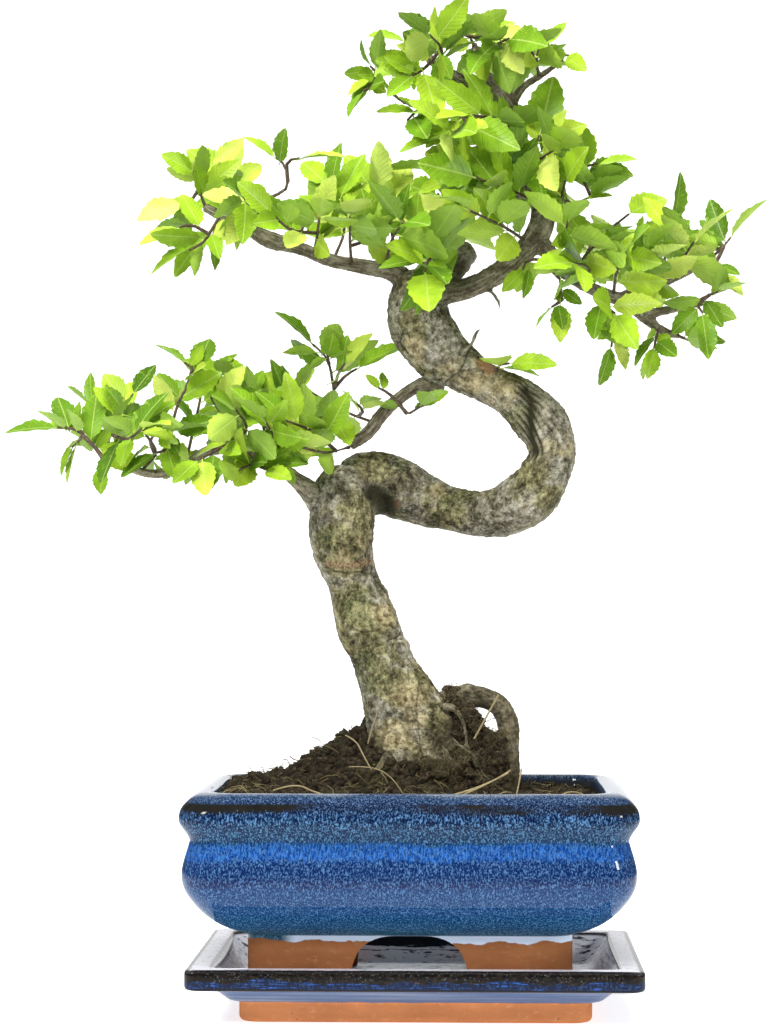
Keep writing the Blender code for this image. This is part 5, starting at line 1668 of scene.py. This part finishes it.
def leaf_form(name, arch, fullness):
    """A leaf one unit long and two wide, thickest at its midrib, with toothed edges and a short stalk."""
    rows = [LEAF_BASE + (1 - LEAF_BASE) * (k / TEETH) ** 0.95 for k in range(TEETH + 1)]
    points = [(rows[0], 0, 0), (1, 0, 0)]
    base = 0
    tip = 1

    def corner(x, width, rise=0.0):
        share = (x - LEAF_BASE) / (1 - LEAF_BASE)
        spread = math.sin(math.pi * share**0.85) ** fullness if width else 0
        points.append((x, width * spread, rise))
        return len(points) - 1

    def edge(width, rise=0.0):
        return [base] + [corner(x, width, rise) for x in rows[1:-1]] + [tip]

    faces = []
    under = []
    rims = {}
    for side in (1, -1):
        notches = edge(side * 0.93)
        teeth = [corner(low + 0.68 * (high - low), side * 1.07) for low, high in zip(rows, rows[1:])]
        rims[side] = notches, teeth
    for face_up in (1, -1):
        rise = face_up * LEAF_THICKNESS / 2
        ribs = edge(0, rise)
        for side in (1, -1):
            notches, teeth = rims[side]
            halfway = edge(side * 0.5, 0.8 * rise)
            for k in range(TEETH):
                inner = [ribs[k], ribs[k + 1], halfway[k + 1], halfway[k]]
                outer = [halfway[k], halfway[k + 1], notches[k + 1], teeth[k], notches[k]]
                for ring in (inner, outer):
                    ring = list(dict.fromkeys(ring))
                    faces.append(tuple(ring if face_up * side > 0 else reversed(ring)))
                    under.append(float(face_up < 0))
    shaped = []
    for x, y, rise in points:
        wave = 0.012 * math.sin(17 * x + 2 * y) * abs(y)
        shaped.append((x, y, rise + 0.07 * abs(y) ** 1.5 + wave - arch * x**2))
    stalk = [(0, 0.5, 0), (0, -0.5, 0.3), (0, 0, -0.7), (1, 0.3, 0), (1, -0.3, 0.2), (1, 0, -0.4)]
    start = len(shaped)
    spots = [(x, y, 0) for x, y, _ in points] + [(0, 0, 0)] * len(stalk)
    for x, y, z in stalk:
        shaped.append((-0.01 + 0.15 * x, 0.14 * y, 0.034 * z - arch * (0.15 * x) ** 2))
    for face in ((0, 2, 1), (3, 4, 5), (0, 1, 4, 3), (1, 2, 5, 4), (2, 0, 3, 5)):
        faces.append(tuple(start + k for k in face))
        under.append(0.0)
    mesh = new_mesh(name, shaped, faces)
    smooth(mesh, 80)
    store(mesh, "spot", "FLOAT_VECTOR", spots)
    store(mesh, "under", "FLOAT", under, "FACE")
    return bpy.data.objects.new(name, mesh)


def leaf_green():
    """Glossy green blades with a pale midrib and side veins, and a dull, paler underside."""
    made, shader, place = shading("leaf")
    spot = stored(place, "spot", "Vector")
    under = stored(place, "under")
    across = abs(coordinate(spot, 1))
    beat = fraction((coordinate(spot, 0) - across * 0.22) * 11.0)
    vein = between(abs(beat - 0.5), 0.16, 0.04)
    rib = between(across, 0.08, 0.03)
    # Leaves are lighter and yellower higher up the tree.
    higher_up = between(coordinate(place, 2), 290, 390)
    green = ramp(stored(place, "tone") + higher_up * 0.09, LEAF_GREENS)
    dull = mixed(0.4, green, (0.045, 0.10, 0.006))
    green = mixed(between(grain(place, 0.09, 3.0), 0.35, 0.7), dull, green)
    blotch = between(grain(place, 0.7, 3.0), 0.56, 0.7)
    for mask, colour in ((blotch * 0.25, (0.40, 0.50, 0.05)), (vein * 0.13, (0.42, 0.56, 0.10)),
                         (rib * 0.38, (0.50, 0.62, 0.18))):
        green = mixed(mask, green, colour)
    pale = mixed(0.45, green, (0.32, 0.48, 0.09))
    set_inputs(shader, {
        "Base Color": mixed(under, green, pale), "Roughness": 0.36 + under * 0.26,
        "Specular IOR Level": 0.22})
    bumped(shader, larger(vein, rib) * -1.0, 0.14)
    return made


def twig_brown():
    made, shader, place = shading("twig")
    brown = ramp(grain(place, 0.7, 4.0, 0.6), [
        (0.3, (0.028, 0.018, 0.012)), (0.55, (0.085, 0.055, 0.034)), (0.8, (0.22, 0.165, 0.11))])
    set_inputs(shader, {"Base Color": brown, "Roughness": 0.7})
    bumped(shader, grain(place, 1.5, 3.0), 0.2)
    return made


def leafy_twig_tree():
    """Draws round twigs along edges and sets a leaf at each loose point, by the values stored there."""
    tree, given, result = grower("leafy_twig", {
        "Leaf shapes": "Collection", "Twig sides": "Int", "Bark": "Material", "Green": "Material"})

    def own(name, kind):
        return step(tree, "GeometryNodeInputNamedAttribute", {"Name": name}, "Attribute", data_type=kind)

    parts = add_node(tree, "GeometryNodeSeparateGeometry", {
        "Geometry": given["Geometry"], "Selection": own("is_leaf", "BOOLEAN")}, domain="POINT").outputs
    stems = step(tree, "GeometryNodeMeshToCurve", {"Mesh": parts["Inverted"]})
    ring = step(tree, "GeometryNodeCurvePrimitiveCircle", {"Resolution": given["Twig sides"], "Radius": 1.0})
    drawn = step(tree, "GeometryNodeCurveToMesh", {
        "Curve": stems, "Profile Curve": ring, "Scale": own("girth", "FLOAT"), "Fill Caps": True})
    wood = step(tree, "GeometryNodeSetMaterial", {"Geometry": drawn, "Material": given["Bark"]})
    shapes = step(tree, "GeometryNodeCollectionInfo", {
        "Collection": given["Leaf shapes"], "Separate Children": True, "Reset Children": True})
    blades = step(tree, "GeometryNodeInstanceOnPoints", {
        "Points": step(tree, "GeometryNodeMeshToPoints", {"Mesh": parts["Selection"]}),
        "Instance": shapes, "Pick Instance": True, "Instance Index": own("form", "INT"),
        "Rotation": step(tree, "FunctionNodeEulerToRotation", {0: own("turn", "FLOAT_VECTOR")}),
        "Scale": own("size", "FLOAT_VECTOR")})
    green = step(tree, "GeometryNodeSetMaterial", {"Geometry": blades, "Material": given["Green"]})
    both = tree.nodes.new("GeometryNodeJoinGeometry")
    tree.links.new(green, both.inputs[0])
    tree.links.new(wood, both.inputs[0])
    tree.links.new(step(tree, "GeometryNodeRealizeInstances", {0: both.outputs[0]}), result)
    return tree


def spray_sketch(name, lines, leaves):
    """A spray's twigs as edges and its leaves as loose points, with what the tree needs stored on them."""
    points = []
    edges = []
    girth = []
    for line in lines:
        edges += [(len(points) + k, len(points) + k + 1) for k in range(len(line) - 1)]
        points += [Vector(place[:3]) * MM for place in line]
        girth += [place[3] * MM for place in line]
    stems = len(points)
    turns = [(0, 0, 0)] * stems
    sizes = [(0, 0, 0)] * stems
    forms = [0] * stems
    tones = [0.0] * stems
    for number, (length, half_width, arch, matrix) in enumerate(leaves):
        draw = random.Random(f"looks {name} {number}")
        points.append(matrix.translation * MM)
        turns.append(tuple(matrix.to_euler()))
        sizes.append((length * MM, half_width * MM, length * MM))
        forms.append(min(int(arch / ARCH_STEP), 3) * 2 + draw.randrange(2))
        tones.append(min(1, max(0, draw.gauss(0.5, 0.24))))
    mesh = new_mesh(name, points, [], edges)
    store(mesh, "is_leaf", "BOOLEAN", [k >= stems for k in range(len(points))])
    store(mesh, "girth", "FLOAT", girth + [0.0] * len(leaves))
    store(mesh, "form", "INT", forms)
    store(mesh, "tone", "FLOAT", tones)
    store(mesh, "turn", "FLOAT_VECTOR", turns)
    store(mesh, "size", "FLOAT_VECTOR", sizes)
    return bpy.data.objects.new(name, mesh)


def make_foliage():
    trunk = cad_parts["trunk"].data
    wood_points = [vertex.co / MM for vertex in trunk.vertices]
    wood_faces = [tuple(face.vertices) for face in trunk.polygons]
    wood = search_tree(wood_points, wood_faces)
    placed = Obstacles()
    placed.add(wood_points, wood_faces)
    lines = {name: twig_lines(twigs, wood) for name, twigs in SPRAYS.items()}
    for name, spray_lines in lines.items():
        for order, line in enumerate(spray_lines):
            placed.add(*limb_shape(line, TWIG_SIDES, 1, 0), (name, order))
    leaves = {name: place_leaves(name, twigs, lines[name], placed) for name, twigs in SPRAYS.items()}
    forms = shape_box("leaf_forms", [
        leaf_form(f"leaf_{2 * k + shape}", ARCH_STEP * (k + 0.5), LEAF_FULLNESS[shape])
        for k in range(4) for shape in range(2)])
    grow = leafy_twig_tree()
    green = leaf_green()
    brown = twig_brown()
    for name, twigs in SPRAYS.items():
        fine = []
        for (*_, stations), line in zip(twigs, lines[name]):
            seated = [tuple(line[0][:3])] + stations[1:]
            if not fine:
                seated = [stations[0]] + seated
            fine.append(twig_line(seated, FINE_TWIG, FINE_STEP))
        sketch = spray_sketch(name, fine, leaves[name] + young_leaves(name, twigs, lines[name]))
        spray = grown(f"leafy_{name}", sketch, grow, {
            "Leaf shapes": forms, "Twig sides": 6, "Bark": brown, "Green": green})
        smooth(spray.data, 80)
        finish_piece(spray, "leaf", f"spray_{name}")


make_foliage()

# Studio: a white sweep, a large soft light from the upper left, a weaker one from the right, and the
# camera at the photograph's angle, a little above the pot.
CAMERA_PLACE = (0.0267, -1.307, 0.1959)
CAMERA_YAW = math.radians(1.84)
CAMERA_PITCH = math.radians(1.25)
CAMERA_LENS = 100.18
CAMERA_SENSOR = 36
SWEEP_FRONT = -4
SWEEP_BACK = 1.6
SWEEP_BEND = 1.2
SWEEP_TOP = 4
SWEEP_SIDE = 5


def make_camera():
    ahead = Vector((-math.sin(CAMERA_YAW) * math.cos(CAMERA_PITCH),
                    math.cos(CAMERA_YAW) * math.cos(CAMERA_PITCH), math.sin(CAMERA_PITCH)))
    right = Vector((math.cos(CAMERA_YAW), math.sin(CAMERA_YAW), 0))
    camera = in_scene("camera", bpy.data.cameras.new("camera"))
    camera.data.lens = CAMERA_LENS
    camera.data.sensor_width = CAMERA_SENSOR
    placed = Matrix((right, right.cross(ahead), -ahead)).transposed().to_4x4()
    placed.translation = CAMERA_PLACE
    camera.matrix_world = placed
    bpy.context.scene.camera = camera


def soft_light(name, place, target, size, power, mirrored=True, seen=True):
    """A square lamp that shines from its place at the target."""
    lamp = in_scene(name, bpy.data.lights.new(name, "AREA"))
    lamp.data.size = size
    lamp.data.energy = power
    lamp.location = place
    lamp.rotation_euler = (Vector(target) - Vector(place)).to_track_quat("-Z", "Y").to_euler()
    lamp.visible_glossy = mirrored
    lamp.visible_camera = seen


def white_paper():
    """White paper with a painted pool of light: it glows softly round the tree and is painted grey, with no
    glow, in front of it and beside it.
    """
    made, shader, place = shading("white_paper")
    # Painted falloff of light: towards the front and the sides the paper is painted grey and stops glowing.
    lit = between(coordinate(place, 1), -400, -100) * between(abs(coordinate(place, 0)), 1100, 650)
    set_inputs(shader, {
        "Base Color": mixed(lit, (0.3, 0.3, 0.3), (0.9, 0.9, 0.9)), "Roughness": 0.9,
        "Emission Color": mixed(lit, (0, 0, 0), (1, 1, 1)), "Emission Strength": 0.62})
    return made


def make_studio():
    bend = [math.radians(turn) for turn in range(0, 91, 6)]
    profile = [(SWEEP_FRONT, 0)]
    for turn in bend:
        profile.append((SWEEP_BACK + SWEEP_BEND * math.sin(turn), SWEEP_BEND * (1 - math.cos(turn))))
    profile += [(SWEEP_BACK + SWEEP_BEND, SWEEP_TOP)]
    points = [(x, y, z) for y, z in profile for x in (-SWEEP_SIDE, SWEEP_SIDE)]
    faces = [(2 * k, 2 * k + 1, 2 * k + 3, 2 * k + 2) for k in range(len(profile) - 1)]
    sweep = in_scene("sweep", new_mesh("sweep", points, faces))
    sweep.data.shade_smooth()
    sweep.data.materials.append(white_paper())
    world = bpy.data.worlds.new("studio")
    world.use_nodes = True
    set_inputs(world.node_tree.nodes["Background"], {"Color": (1, 1, 1, 1), "Strength": 0.3})
    bpy.context.scene.world = world
    soft_light("top", (-0.25, -0.5, 1.9), (0, 0, 0.2), 1.2, 55, mirrored=False)
    soft_light("key", (-0.9, -1.3, 1.1), (0, 0, 0.25), 0.4, 22)
    soft_light("fill", (1.4, -1.0, 0.7), (0, 0, 0.2), 0.25, 10)
    soft_light("back", (0.1, 0.9, 0.75), (0, 0, 0.05), 0.4, 9, mirrored=False, seen=False)
    soft_light("low", (0, -1.3, 0.10), (0, 0, 0.03), 0.3, 2.6, mirrored=False, seen=False)
    bpy.context.scene.view_settings.view_transform = "Standard"


make_camera()
make_studio()
